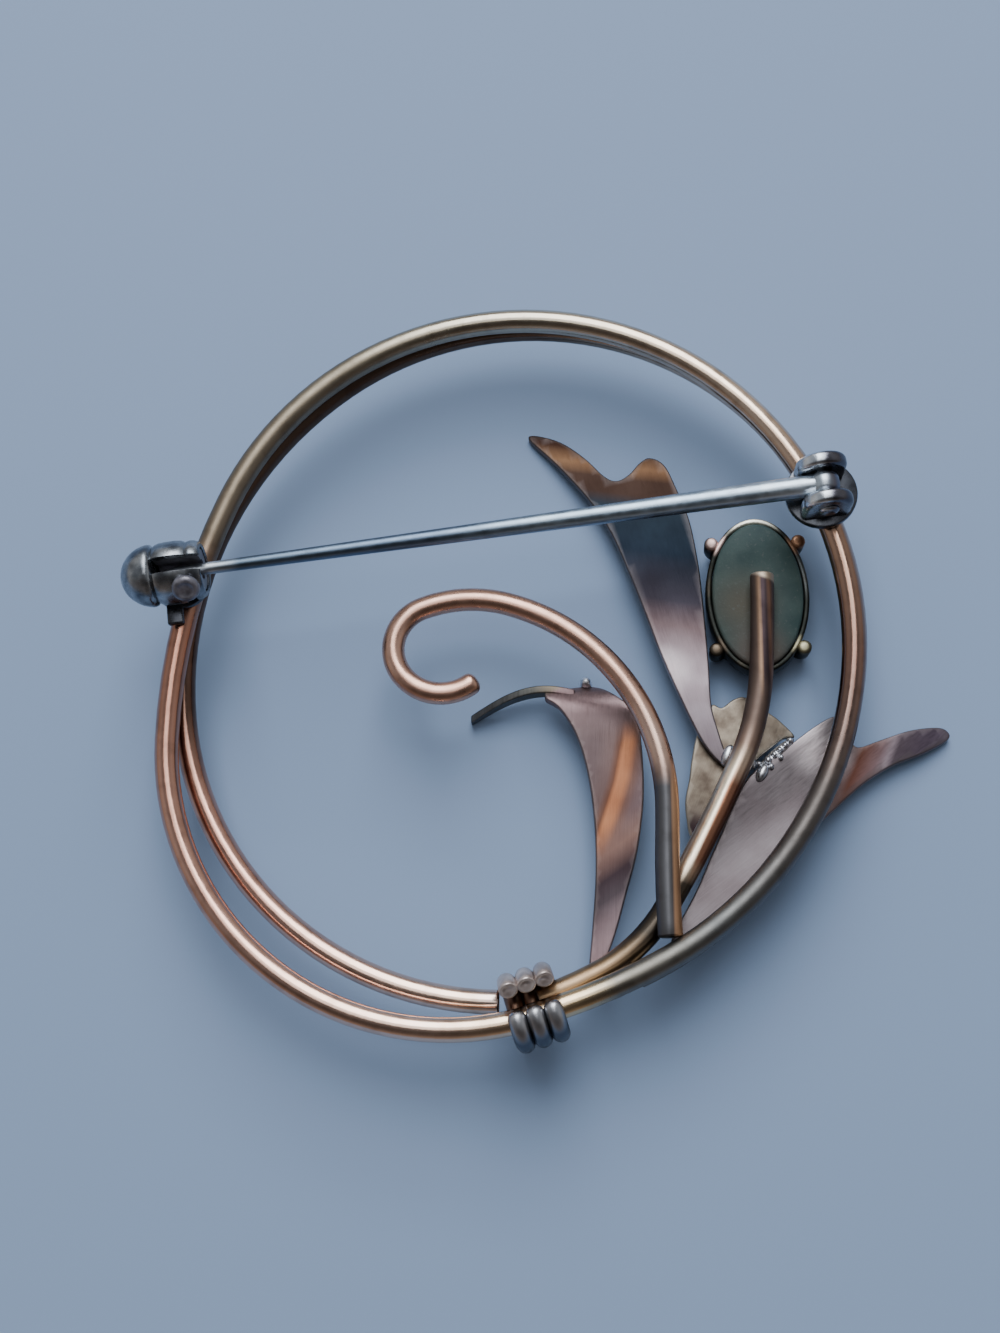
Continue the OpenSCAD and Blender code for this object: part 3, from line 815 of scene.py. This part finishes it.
def calyx_colour(tree):
    """Mottled olive grey, painted dark mauve brown as shade on the tail beside the stem."""
    olive = mottled(tree, 0.8, (0.09, 0.07, 0.054), (0.19, 0.158, 0.122))
    return dab(tree, olive, (8.2, -9.0, 2.0), 2.0, (0.028, 0.019, 0.022))


def ride(piece, body, nodes, finish):
    """Gives a finished piece its material and body, and hides the plain solids that it stands for."""
    piece.data.materials.clear()
    piece.data.materials.append(finish)
    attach(piece, body)
    if nodes:
        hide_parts(*nodes)
    return piece


def make_camera():
    """The photograph's view: from above, a little from the front and from the right."""
    azimuth = radians(12)
    elevation = radians(75)
    distance = 95 * MM
    look_at = place(-2.074, -0.444, 4.4)
    back = Vector((
        sin(azimuth) * cos(elevation), -cos(azimuth) * cos(elevation), sin(elevation)
    ))
    up = (ALONG_Y - ALONG_Y.dot(back) * back).normalized()
    bpy.ops.object.camera_add()
    camera = bpy.context.object
    camera.name = "camera"
    camera.matrix_world = axes(look_at + back * distance, up.cross(back), up, back)
    camera.data.lens = 47.8
    camera.data.sensor_width = 36
    camera.data.clip_start = 1 * MM
    camera.data.clip_end = 10
    bpy.context.scene.camera = camera


def make_floor():
    deselect()
    bpy.ops.mesh.primitive_plane_add(size=4)
    ground = named("floor")
    finish, _, shader = new_finish("pale_floor", Roughness=0.75)
    shader.inputs["Base Color"].default_value = (0.25, 0.345, 0.52, 1)
    ground.data.materials.append(finish)


def add_light(name, direction, size, power, colour):
    """A soft box that faces the brooch from half a metre away."""
    bpy.ops.object.light_add(type="AREA")
    lamp = bpy.context.object
    lamp.name = name
    lamp.data.shape = "RECTANGLE"
    lamp.data.size, lamp.data.size_y = size
    lamp.data.energy = power
    lamp.data.color = colour
    towards = Vector(direction).normalized()
    lamp.location = towards * 0.5
    lamp.rotation_mode = "QUATERNION"
    lamp.rotation_quaternion = towards.to_track_quat("Z", "Y")


def make_lights():
    """A bright soft box beyond the ring's top, a dim one above, and a room that is dark in the south."""
    add_light("window", (0, 0.643, 0.766), (0.32, 0.43), power=2.9, colour=(0.9, 0.95, 1.0))
    add_light("ceiling", (0, 0.09, 0.996), (0.3, 0.2), power=0.35, colour=(0.95, 0.97, 1.0))
    world = bpy.data.worlds.new("studio")
    bpy.context.scene.world = world
    world.use_nodes = True
    tree = world.node_tree
    upwards = coordinate(tree, "Z", "Generated")
    walls = ramp(tree, upwards, [
        (0.0, 0.4, 0.38, 0.36), (0.35, 0.46, 0.46, 0.46), (0.6, 0.48, 0.5, 0.52), (0.85, 0.24, 0.25, 0.27),
        (1.0, 0.12, 0.12, 0.125),
    ])
    dark_wall = ramp(tree, upwards, [
        (0.0, 0.34, 0.3, 0.27), (0.3, 0.18, 0.15, 0.135), (0.55, 0.08, 0.07, 0.066),
        (1.0, 0.06, 0.056, 0.056),
    ])
    southward = rescale(tree, coordinate(tree, "Y", "Generated"), -0.1, -0.5)
    tree.links.new(blend(tree, southward, walls, dark_wall), tree.nodes["Background"].inputs["Color"])
    tree.nodes["Background"].inputs["Strength"].default_value = 1.0


def make_wire(name, node, level, path, finish, **shape):
    """A gold wire that is bent flat, at its own level."""
    wire = bend_wire(name, ring_plane(level), path, **shape)
    ride(wire, "brooch", [node], finish)


def make_wrap(finish):
    """Three turns side by side: the cut inner ends look up, with a pinched hollow in each."""
    inward = heading(WRAP_HEADING + 90)
    along = heading(WRAP_HEADING)
    plane = BendingPlane(place(*WRAP_AT, 0), inward, UPWARDS)
    middle = bend_wire(
        "wrap_turn", plane, WRAP_TURN, WRAP_WIRE, facet=9, sides=20,
        start_end=[(0.04, 0.96), (0.03, 0.88)], last_end=ROUNDED,
    )
    x, y, aim = WRAP_TURN[0]
    first = plane.direction(aim)
    cut = plane.point(x, y) - first * 0.07 * MM
    hollow = first * 0.09 * MM - along * 0.05 * MM
    edit(middle)
    choose(middle, lambda co: (co - cut).length < 0.6 * MM and abs((co - cut).dot(first)) < 0.01 * MM)
    bpy.ops.mesh.inset(thickness=0.09 * MM)
    extrude(hollow)
    shrink(0.55, cut + hollow)
    close_up(middle, 60)
    sides = [copy_of(middle, Matrix.Translation(along * side * WRAP_PITCH * MM)) for side in (-1, 1)]
    ride(join([middle, *sides], "wrap"), "brooch", ["wire_wrap"], finish)


def make_leaves(centre_finish, left_finish, right_finish, calyx_finish):
    centre = stamped_sheet("centre_leaf", CENTRE_LEAF_OUTLINE, CENTRE_LEAF_FORM)
    ride(centre, "brooch", ["leaf_centre"], centre_finish)
    right = stamped_sheet("right_leaf", RIGHT_LEAF_OUTLINE, RIGHT_LEAF_FORM)
    ride(right, "brooch", ["leaf_right"], right_finish)
    left = join([stamped_sheet("left_leaf", LEFT_LEAF_OUTLINE, LEFT_LEAF_FORM), standing_tip()], "left_leaf")
    ride(left, "brooch", ["leaf_left"], left_finish)
    calyx = stamped_sheet("calyx_leaf", CALYX_OUTLINE, CALYX_FORM)
    ride(calyx, "brooch", ["calyx"], calyx_finish)


def standing_tip():
    """The left leaf's tip: a strip on edge that follows a smooth line down to the surface."""
    deselect()
    bpy.ops.mesh.primitive_plane_add(size=MM)
    tip = named("standing_tip")
    x, y, low, high = TIP_ROWS[0]
    half = LEAF_SHEET / 2
    corners = [(x, y - half, low), (x, y + half, low), (x, y - half, high), (x, y + half, high)]
    for vertex, corner in zip(tip.data.vertices, corners):
        vertex.co = place(*corner)
    edit(tip)
    for row in TIP_ROWS[1:]:
        extrude(Vector((row[0] - x, row[1] - y, row[2] - low)) * MM)
        bpy.ops.transform.resize(
            value=(1, 1, (row[3] - row[2]) / (high - low)), center_override=place(*row[:3])
        )
        x, y, low, high = row
    soften(tip, SHEET_ROUNDING)
    apply_modifier(tip, "SUBSURF", levels=2, render_levels=2)
    tip.data.attributes.new("edge", "FLOAT", "POINT")
    return close_up(tip, 50)


def make_solder(finish):
    """Drops and beads of solder at the leaves' feet, beside the calyx and on the left leaf's top edge."""
    drop = turned("drop", [
        (-0.5, 0.45), (-0.15, 0.49), (0.0, 0.5), (0.4, 0.46), (0.7, 0.36), (0.9, 0.23), (1.0, 0.1),
    ], sides=20)
    drops = []
    for x, y, z, width, length, height, turn in SOLDER_DROPS:
        stretched = Matrix.Diagonal((width, length, height, 1))
        aimed = Matrix.Rotation(radians(turn), 4, "Z")
        drops.append(copy_of(drop, Matrix.Translation(place(x, y, z)) @ aimed @ stretched))
    bpy.data.objects.remove(drop)
    ride(join(drops, "solder"), "brooch", [], finish)


def make_stone(stone_finish, rim_finish):
    """The cabochon, flat side up, in a thin oval rim with four prongs on its outside."""
    half_width = STONE_WIDTH / 2
    half_length = STONE_LENGTH / 2
    standing = Matrix.Translation(place(*STONE_AT, 0)) @ Matrix.Rotation(radians(STONE_TURN), 4, "Z")
    rows = [
        (0, 0.12), (0.03, 0.3), (0.12, 0.55), (0.25, 0.73), (0.42, 0.87), (0.62, 0.96), (0.86, 1.0),
        (2.2, 1.0), (2.31, 0.992), (2.38, 0.975), (2.42, 0.94), (2.44, 0.6), (STONE_HEIGHT, 0.2),
    ]
    stone = turned("cabochon", [(z, half_width * s, half_length * s) for z, s in rows], sides=64)
    ride(put(stone, standing), "brooch", ["stone"], stone_finish)
    outer = GAP + RIM_WALL
    rim_rows = [
        (-RIM_DEPTH, GAP), (-0.06, GAP), (-0.015, GAP + 0.04), (0, GAP + 0.1),
        (0, outer - 0.1), (-0.02, outer - 0.04), (-0.08, outer), (-RIM_DEPTH, outer), (-RIM_DEPTH, GAP),
    ]
    rim = turned(
        "rim", [(RIM_TOP + z, half_width + r, half_length + r) for z, r in rim_rows], sides=72, closed=True
    )
    prong = bend_wire(
        "prong", BendingPlane(Vector(), ALONG_X, UPWARDS),
        [(PRONG_OUT, RIM_TOP - 0.1, -90), (1.1, 0), (0.5, -70), (0.5, 0)],
        PRONG_WIRE, PRONG_WIRE * 0.8, facet=12, sides=18,
        start_end=[(0.05, 0.93), (0.05, 0.8), (0.03, 0.6)], last_end=[(0.05, 0.93), (0.05, 0.8)],
    )
    parts = [put(rim, standing)]
    for angle in PRONG_ANGLES:
        turn = radians(angle)
        edge = Vector((half_width * cos(turn), half_length * sin(turn), 0)) * MM
        out = atan2(sin(turn) / STONE_LENGTH, cos(turn) / STONE_WIDTH)
        parts.append(copy_of(prong, standing @ Matrix.Translation(edge) @ Matrix.Rotation(out, 4, "Z")))
    bpy.data.objects.remove(prong)
    ride(join(parts, "setting"), "brooch", ["stone_setting"], rim_finish)


def pin_frame(distance, lateral=0.0, level=PIN_LEVEL):
    """A place on the pin's line: its x runs towards the catch and its z upwards."""
    towards = heading(PIN_HEADING)
    beside = heading(PIN_HEADING + 90)
    origin = place(*PIVOT, level) + (towards * distance + beside * lateral) * MM
    return axes(origin, towards, beside, UPWARDS)


# Ways to lay a turned piece: along the pin's line, across it, and leaning to the lever's side
LYING = Matrix.Rotation(radians(90), 4, "Y")
CROSSWISE = Matrix.Rotation(radians(-90), 4, "X")
LEANING = Matrix.Rotation(radians(-LEVER_ANGLE), 4, "X")


def make_pin(finish):
    """The pin tapers to its point, and its eye sits on the rivet."""
    collar = 0.7
    reach = PIN_LENGTH - POINT_LENGTH
    steps = 12
    rings = [(-0.1, PIN_THICK / 2 * 0.9), (0.0, PIN_THICK / 2), (collar, PIN_THICK / 2)]
    for k in range(1, steps + 1):
        share = k / steps
        rings.append((collar + (reach - collar) * share, (PIN_THICK + (PIN_THIN - PIN_THICK) * share) / 2))
    rings += [(reach + 0.4, PIN_THIN / 2 * 0.72), (reach + 0.7, PIN_THIN / 2 * 0.42), (PIN_LENGTH, 0.05)]
    stem = put(turned("pin", rings, sides=24), pin_frame(0) @ LYING)
    bore = RIVET / 2 + GAP
    half = EYE_THICK / 2
    rounding = [(half, 0.3), (half - 0.06, 0.18), (half - 0.16, 0.08), (half - 0.32, 0.02)]
    other_side = [(-z, cut) for z, cut in reversed(rounding)]
    eye_rings = [(-half, bore), (half, bore)]
    eye_rings += [(z, EYE_RADIUS - cut) for z, cut in (*rounding, (0, 0), *other_side)]
    eye_rings += [(-half, bore)]
    eye = put(turned("eye", eye_rings, closed=True), pin_frame(0) @ CROSSWISE)
    ride(join([stem, eye], "pin"), "pin", ["pin_stem"], finish)


def round_plate(name, radius, distance):
    """A round base of sheet under the pin's line, on top of the ring."""
    edge = 0.1
    lower = [(0, radius - edge), (edge * 0.3, radius - edge * 0.3), (edge, radius)]
    upper = [(BASE_SHEET - z, wide) for z, wide in reversed(lower)]
    plate = turned(name, lower + upper, sides=48)
    return put(plate, pin_frame(distance, level=BASE_TOP - BASE_SHEET))


def make_hinge(finish):
    """Two round-topped ears on a round base, and the rivet through them."""
    foot = BASE_TOP - 0.1 - PIN_LEVEL
    ear = block("ear", (2 * EAR_RADIUS, EAR_THICK, EAR_RADIUS - foot), (0, 0, (EAR_RADIUS + foot) / 2))
    edit(ear)
    bpy.ops.mesh.select_all(action="DESELECT")
    mesh = bmesh.from_edit_mesh(ear.data)
    for edge in mesh.edges:
        low, high = edge.verts
        edge.select_set(low.co.z > 0 and high.co.z > 0 and abs(low.co.x - high.co.x) < 0.01 * MM)
    bmesh.update_edit_mesh(ear.data)
    bpy.ops.mesh.bevel(offset=0.98 * EAR_RADIUS * MM, segments=16, affect="EDGES")
    soften(ear, 0.3, 6)
    close_up(ear, 50)
    lateral = (EAR_GAP + EAR_THICK) / 2
    base = round_plate("base", HINGE_BASE_RADIUS, 0)
    parts = [base, copy_of(ear, pin_frame(0, -lateral)), put(ear, pin_frame(0, lateral))]
    ride(join(parts, "hinge"), "brooch", ["hinge_joint"], finish)
    half = EAR_GAP / 2 + EAR_THICK + GAP
    top = half + RIVET_HEAD
    head = [(half, 0.55), (top - 0.12, 0.52), (top - 0.04, 0.4), (top, 0.25)]
    other_head = [(-z, radius) for z, radius in reversed(head)]
    rivet = turned("rivet", [*other_head, (-half, RIVET / 2), (half, RIVET / 2), *head], sides=32)
    ride(put(rivet, pin_frame(0) @ CROSSWISE), "brooch", ["hinge_rivet"], finish)


def cut_away(piece, cutter, matrix):
    """Cuts a shape out of a piece at a place."""
    put(cutter, matrix)
    apply_modifier(piece, "BOOLEAN", operation="DIFFERENCE", object=cutter, solver="EXACT")
    bpy.data.objects.remove(cutter)


def neck_way(width, length):
    """A cutter for the window that the lever's neck swings in: a rod that is widened to one side."""
    deselect()
    bpy.ops.mesh.primitive_cylinder_add(
        vertices=32, radius=width / 2 * MM, depth=length * MM, location=(0, 0, length / 2 * MM)
    )
    rod = named("window")
    edit(rod)
    choose(rod, lambda co: co.y > 0)
    bpy.ops.transform.translate(value=(0, 1.5 * MM, 0))
    return rod


def make_catch(finish):
    """A barrel with a slot along its top, a domed end, a window for the lever, and a foot with a tab."""
    bore = ROTOR_RADIUS + 0.05
    shoulder = BARREL_LENGTH + 0.1
    rings = [
        (BARREL_LENGTH, bore), (0.06, bore), (0, bore + 0.06), (0, 1.36), (0.06, 1.44), (0.15, 1.5),
        (0.35, 1.58), (0.55, 1.61), (0.7, 1.58), (0.78, 1.54), (0.86, 1.58), (1.05, 1.66), (1.4, 1.7),
        (1.9, 1.7), (2.25, 1.67), (2.45, 1.61), (2.56, 1.53), (2.62, 1.5), (2.66, 1.55), (2.74, 1.65),
    ]
    for degrees in (7, 15, 25, 35, 45, 55, 64, 72, 79, 85):
        angle = radians(degrees)
        rings.append((shoulder + DOME_LENGTH * sin(angle), BARREL_RADIUS * cos(angle)))
    barrel = put(turned("barrel", rings, sides=64), pin_frame(CATCH_FROM) @ LYING)
    slot = block("slot", (3.7, CATCH_SLOT, 4))
    cut_away(barrel, slot, pin_frame(CATCH_FROM + 0.8, level=PIN_LEVEL + 2))
    cut_away(barrel, neck_way(NECK_WIDTH + 0.14, 2.4), pin_frame(LEVER_AT) @ LEANING)
    tab = block("tab", TAB_SIZE)
    soften(tab, 0.1)
    put(close_up(tab), pin_frame(TAB_AT, TAB_SIZE[1] / 2, BASE_TOP - BASE_SHEET / 2))
    catch = join([close_up(barrel, 50), round_plate("foot", FOOT_RADIUS, FOOT_AT), tab], "catch")
    ride(catch, "brooch", ["catch_body"], finish)


def make_rotor(finish):
    """A slotted sleeve with a lever whose button lies against the barrel's side."""
    length = BARREL_LENGTH - 0.2
    corner = 0.05
    rings = [
        (0, ROTOR_BORE), (length, ROTOR_BORE), (length, ROTOR_RADIUS - corner),
        (length - corner, ROTOR_RADIUS), (corner, ROTOR_RADIUS), (0, ROTOR_RADIUS - corner), (0, ROTOR_BORE),
    ]
    sleeve = put(turned("sleeve", rings, closed=True), pin_frame(CATCH_FROM + 0.1) @ LYING)
    slot = block("slot", (4, CATCH_SLOT, 4))
    cut_away(sleeve, slot, pin_frame(CATCH_FROM + 1, level=PIN_LEVEL + 2))
    neck = NECK_WIDTH / 2
    button_rings = [
        (ROTOR_RADIUS - 0.1, neck), (1.79, neck), (1.8, 0.56), (1.84, 0.66), (1.92, 0.73), (2.04, 0.75),
        (2.15, 0.72), (2.24, 0.64), (2.29, 0.54), (2.3, 0.48), (2.27, 0.42), (2.22, 0.34), (2.2, 0.2),
    ]
    button = put(turned("button", button_rings), pin_frame(LEVER_AT) @ LEANING)
    ride(join([close_up(sleeve), button], "rotor"), "rotor", ["catch_rotor"], finish)


def metal_finish(name, tone_of, patches, gloss, relief=0.0, metallic=1.0):
    """A metal whose tone comes from a function of its node tree, and whose gloss wanders with a noise."""
    finish, tree, shader = new_finish(name, Metallic=metallic)
    paint(tree, shader, tone_of(tree))
    roughen(tree, shader, grain(tree, *patches), *gloss)
    if relief:
        bump(tree, shader, grain(tree, patches[0]), relief)
    return finish


def solder_tone(tree):
    """Bright, with grey patches."""
    return mottled(tree, 0.4, (0.5, 0.5, 0.53), (0.86, 0.88, 0.92))


def setting_tone(tree):
    """The rim is dull olive but pale at its top and right, the top's pale crescent being a painted highlight,
    and each prong is painted lighter or darker by how the light falls on it.
    """
    tone = mottled(tree, 0.8, (0.009, 0.011, 0.0095), (0.02, 0.023, 0.02))
    for x, y, radius, colour in SETTING_TONES:
        tone = dab(tree, tone, (x, y, RIM_TOP), radius, colour)
    return scratched(tree, tone, (0.06, 0.045, 0.03), 0.2)


def stone_finish():
    """The cabochon's unpolished back: teal with pale specks, an olive cloud and a brown one at the stem."""
    finish, tree, shader = new_finish("green_stone", Roughness=0.5)
    shader.inputs["Specular IOR Level"].default_value = 0.15
    teal = mottled(tree, 1.4, (0.033, 0.06, 0.06), (0.062, 0.095, 0.088), 0.3, 0.7)
    olive = dab(tree, teal, (11.2, 3.4, 2.4), 2.8, (0.088, 0.08, 0.06))
    brown = dab(tree, olive, (12.0, 0.6, 2.0), 2.6, (0.12, 0.088, 0.072))
    specks = rescale(tree, grain(tree, 0.18, 2), 0.6, 0.75, 0, 0.5)
    paint(tree, shader, blend(tree, specks, brown, (0.11, 0.12, 0.115)))
    bump(tree, shader, grain(tree, 0.15), 0.01)
    return finish


def pin_tone(tree):
    """Lengthwise polishing lines, bluer and darker towards the catch, and painted bright inside it to light
    the point in the slot's shade; the eye beyond the rivet is painted dark as shade.
    """
    towards = heading(PIN_HEADING)
    pivot = Vector((*PIVOT, PIN_LEVEL))
    out = share_along(tree, pivot - towards, pivot + towards * PIN_LENGTH)
    # Painted shade on the eye up to 0.018, painted light on the point inside the catch from 0.93
    tone = ramp(tree, out, [
        (0.018, 0.17, 0.16, 0.19), (0.03, 0.62, 0.68, 0.74), (0.22, 0.42, 0.52, 0.62),
        (0.43, 0.34, 0.42, 0.5), (0.6, 0.15, 0.2, 0.28), (0.88, 0.13, 0.175, 0.23), (0.93, 0.7, 0.74, 0.78),
    ])
    tone = multiplied(tree, tone, mottled(tree, 1.0, (0.8, 0.82, 0.84), (1, 1, 1)))
    return scratched(tree, tone, (0.1, 0.13, 0.17), 0.3, PIN_HEADING)


def catch_tone(tree):
    """Mottled grey."""
    return darker_low_down(tree, ramp(tree, grain(tree, 0.8), [
        (0.34, 0.1, 0.108, 0.125), (0.5, 0.22, 0.235, 0.255), (0.66, 0.36, 0.375, 0.395),
    ]))


def rotor_tone(tree):
    """Grey with a mauve tinge."""
    return darker_low_down(tree, mottled(tree, 0.5, (0.12, 0.115, 0.135), (0.24, 0.23, 0.26)))


def hinge_tone(tree):
    """Painted light and shade: bright as a highlight on the pin's side and dark mauve grey beyond the rivet.
    """
    reach = heading(PIN_HEADING) * 1.4
    pivot = Vector((*PIVOT, PIN_LEVEL))
    tone = ramp(tree, share_along(tree, pivot - reach, pivot + reach), [
        (0.0, 0.1, 0.095, 0.11), (0.45, 0.14, 0.135, 0.155), (0.6, 0.62, 0.66, 0.7), (1.0, 0.92, 0.96, 1.0),
    ])
    return darker_low_down(tree, multiplied(tree, tone, mottled(tree, 0.6, (0.7, 0.7, 0.72), (1, 1, 1))))


def darker_low_down(tree, tone):
    """A tone that is darker low down, on the round bases."""
    low = rescale(tree, coordinate(tree, "Z"), 6.3 * MM, 5.8 * MM, 0, 0.94)
    return blend(tree, low, tone, (0.07, 0.074, 0.086))


def wrap_finish():
    """Pale satin on the cut ends as a painted highlight, grey on the outer side, painted lighter at the top
    and darker low down, and brown down beside the ring as painted shade.
    """
    finish, tree, shader = new_finish("wrap_metal", Metallic=1.0)
    pale = mottled(tree, 0.8, (0.46, 0.39, 0.365), (0.74, 0.65, 0.61))
    height = coordinate(tree, "Z")
    inward = heading(WRAP_HEADING + 90)
    middle = Vector((*WRAP_AT, 5.0))
    inner = rescale(tree, share_along(tree, middle, middle + inward), 0.5, 1.0)
    # Painted light and shade: pale grey at the top of the turns, dark grey down their flanks
    grey = ramp(tree, rescale(tree, height, 4.6 * MM, 6.2 * MM), [
        (0.0, 0.075, 0.085, 0.105), (0.6, 0.11, 0.12, 0.14), (1.0, 0.42, 0.42, 0.44),
    ])
    ends = calculate(tree, "MULTIPLY", inner, rescale(tree, height, 5.2 * MM, 5.7 * MM))
    tree.links.new(rescale(tree, ends, 0, 1, 1, 0.8), shader.inputs["Metallic"])
    # Painted shade down the inner flank beside the ring
    start = middle + inward * 1.4
    deep = share_along(tree, start, start + inward * 0.9 - UPWARDS * 1.2)
    inner_flank_shade = rescale(tree, deep, 0.35, 0.8, 0, 0.9)
    paint(tree, shader, blend(tree, inner_flank_shade, blend(tree, inner, grey, pale), (0.24, 0.13, 0.08)))
    roughen(tree, shader, grain(tree, 0.4), 0.28, 0.4)
    return finish


make_camera()
make_floor()
make_lights()
make_wire(
    "back_ring", "ring_back_loop", BACK_LEVEL, BACK_RING,
    gold_finish("ring_gold", ring_colour, ring_dullness),
)
make_wire(
    "front_ring", "ring_front_loop", FRONT_LEVEL, FRONT_RING,
    gold_finish("front_ring_gold", front_ring_colour, ring_dullness),
)
make_wire(
    "scroll", "scroll_wire", BACK_LEVEL, SCROLL,
    gold_finish("scroll_gold", scroll_colour, foot_of_scroll, (0.24, 0.34)),
    end_diameter=SCROLL_END_WIRE, last_end=ROUNDED,
)
make_wire(
    "stem", "flower_stem", FRONT_LEVEL, STEM,
    gold_finish("stem_gold", stem_colour, top_of_stem, (0.27, 0.36)),
)
make_wrap(wrap_finish())
make_leaves(
    leaf_finish("centre_leaf_sheet", centre_leaf_colour, CENTRE_LEAF_FORM["aim"]),
    leaf_finish("left_leaf_sheet", left_leaf_colour, LEFT_LEAF_FORM["aim"]),
    leaf_finish("right_leaf_sheet", right_leaf_colour, RIGHT_LEAF_FORM["aim"]),
    leaf_finish("calyx_sheet", calyx_colour, CALYX_FORM["aim"], (0.34, 0.48), (0.62, 0.56, 0.46), 0.75),
)
make_solder(metal_finish("solder_metal", solder_tone, (0.2, 5), (0.25, 0.4), 0.01))
make_stone(stone_finish(), metal_finish("setting_metal", setting_tone, (0.4, 5), (0.3, 0.46), metallic=0.85))
make_pin(metal_finish("pin_steel", pin_tone, (0.5,), (0.28, 0.4)))
make_hinge(metal_finish("hinge_steel", hinge_tone, (0.5,), (0.2, 0.34), 0.012))
make_catch(metal_finish("catch_steel", catch_tone, (0.5,), (0.2, 0.34), 0.012))
make_rotor(metal_finish("rotor_steel", rotor_tone, (0.5,), (0.3, 0.42), 0.012, metallic=0.6))
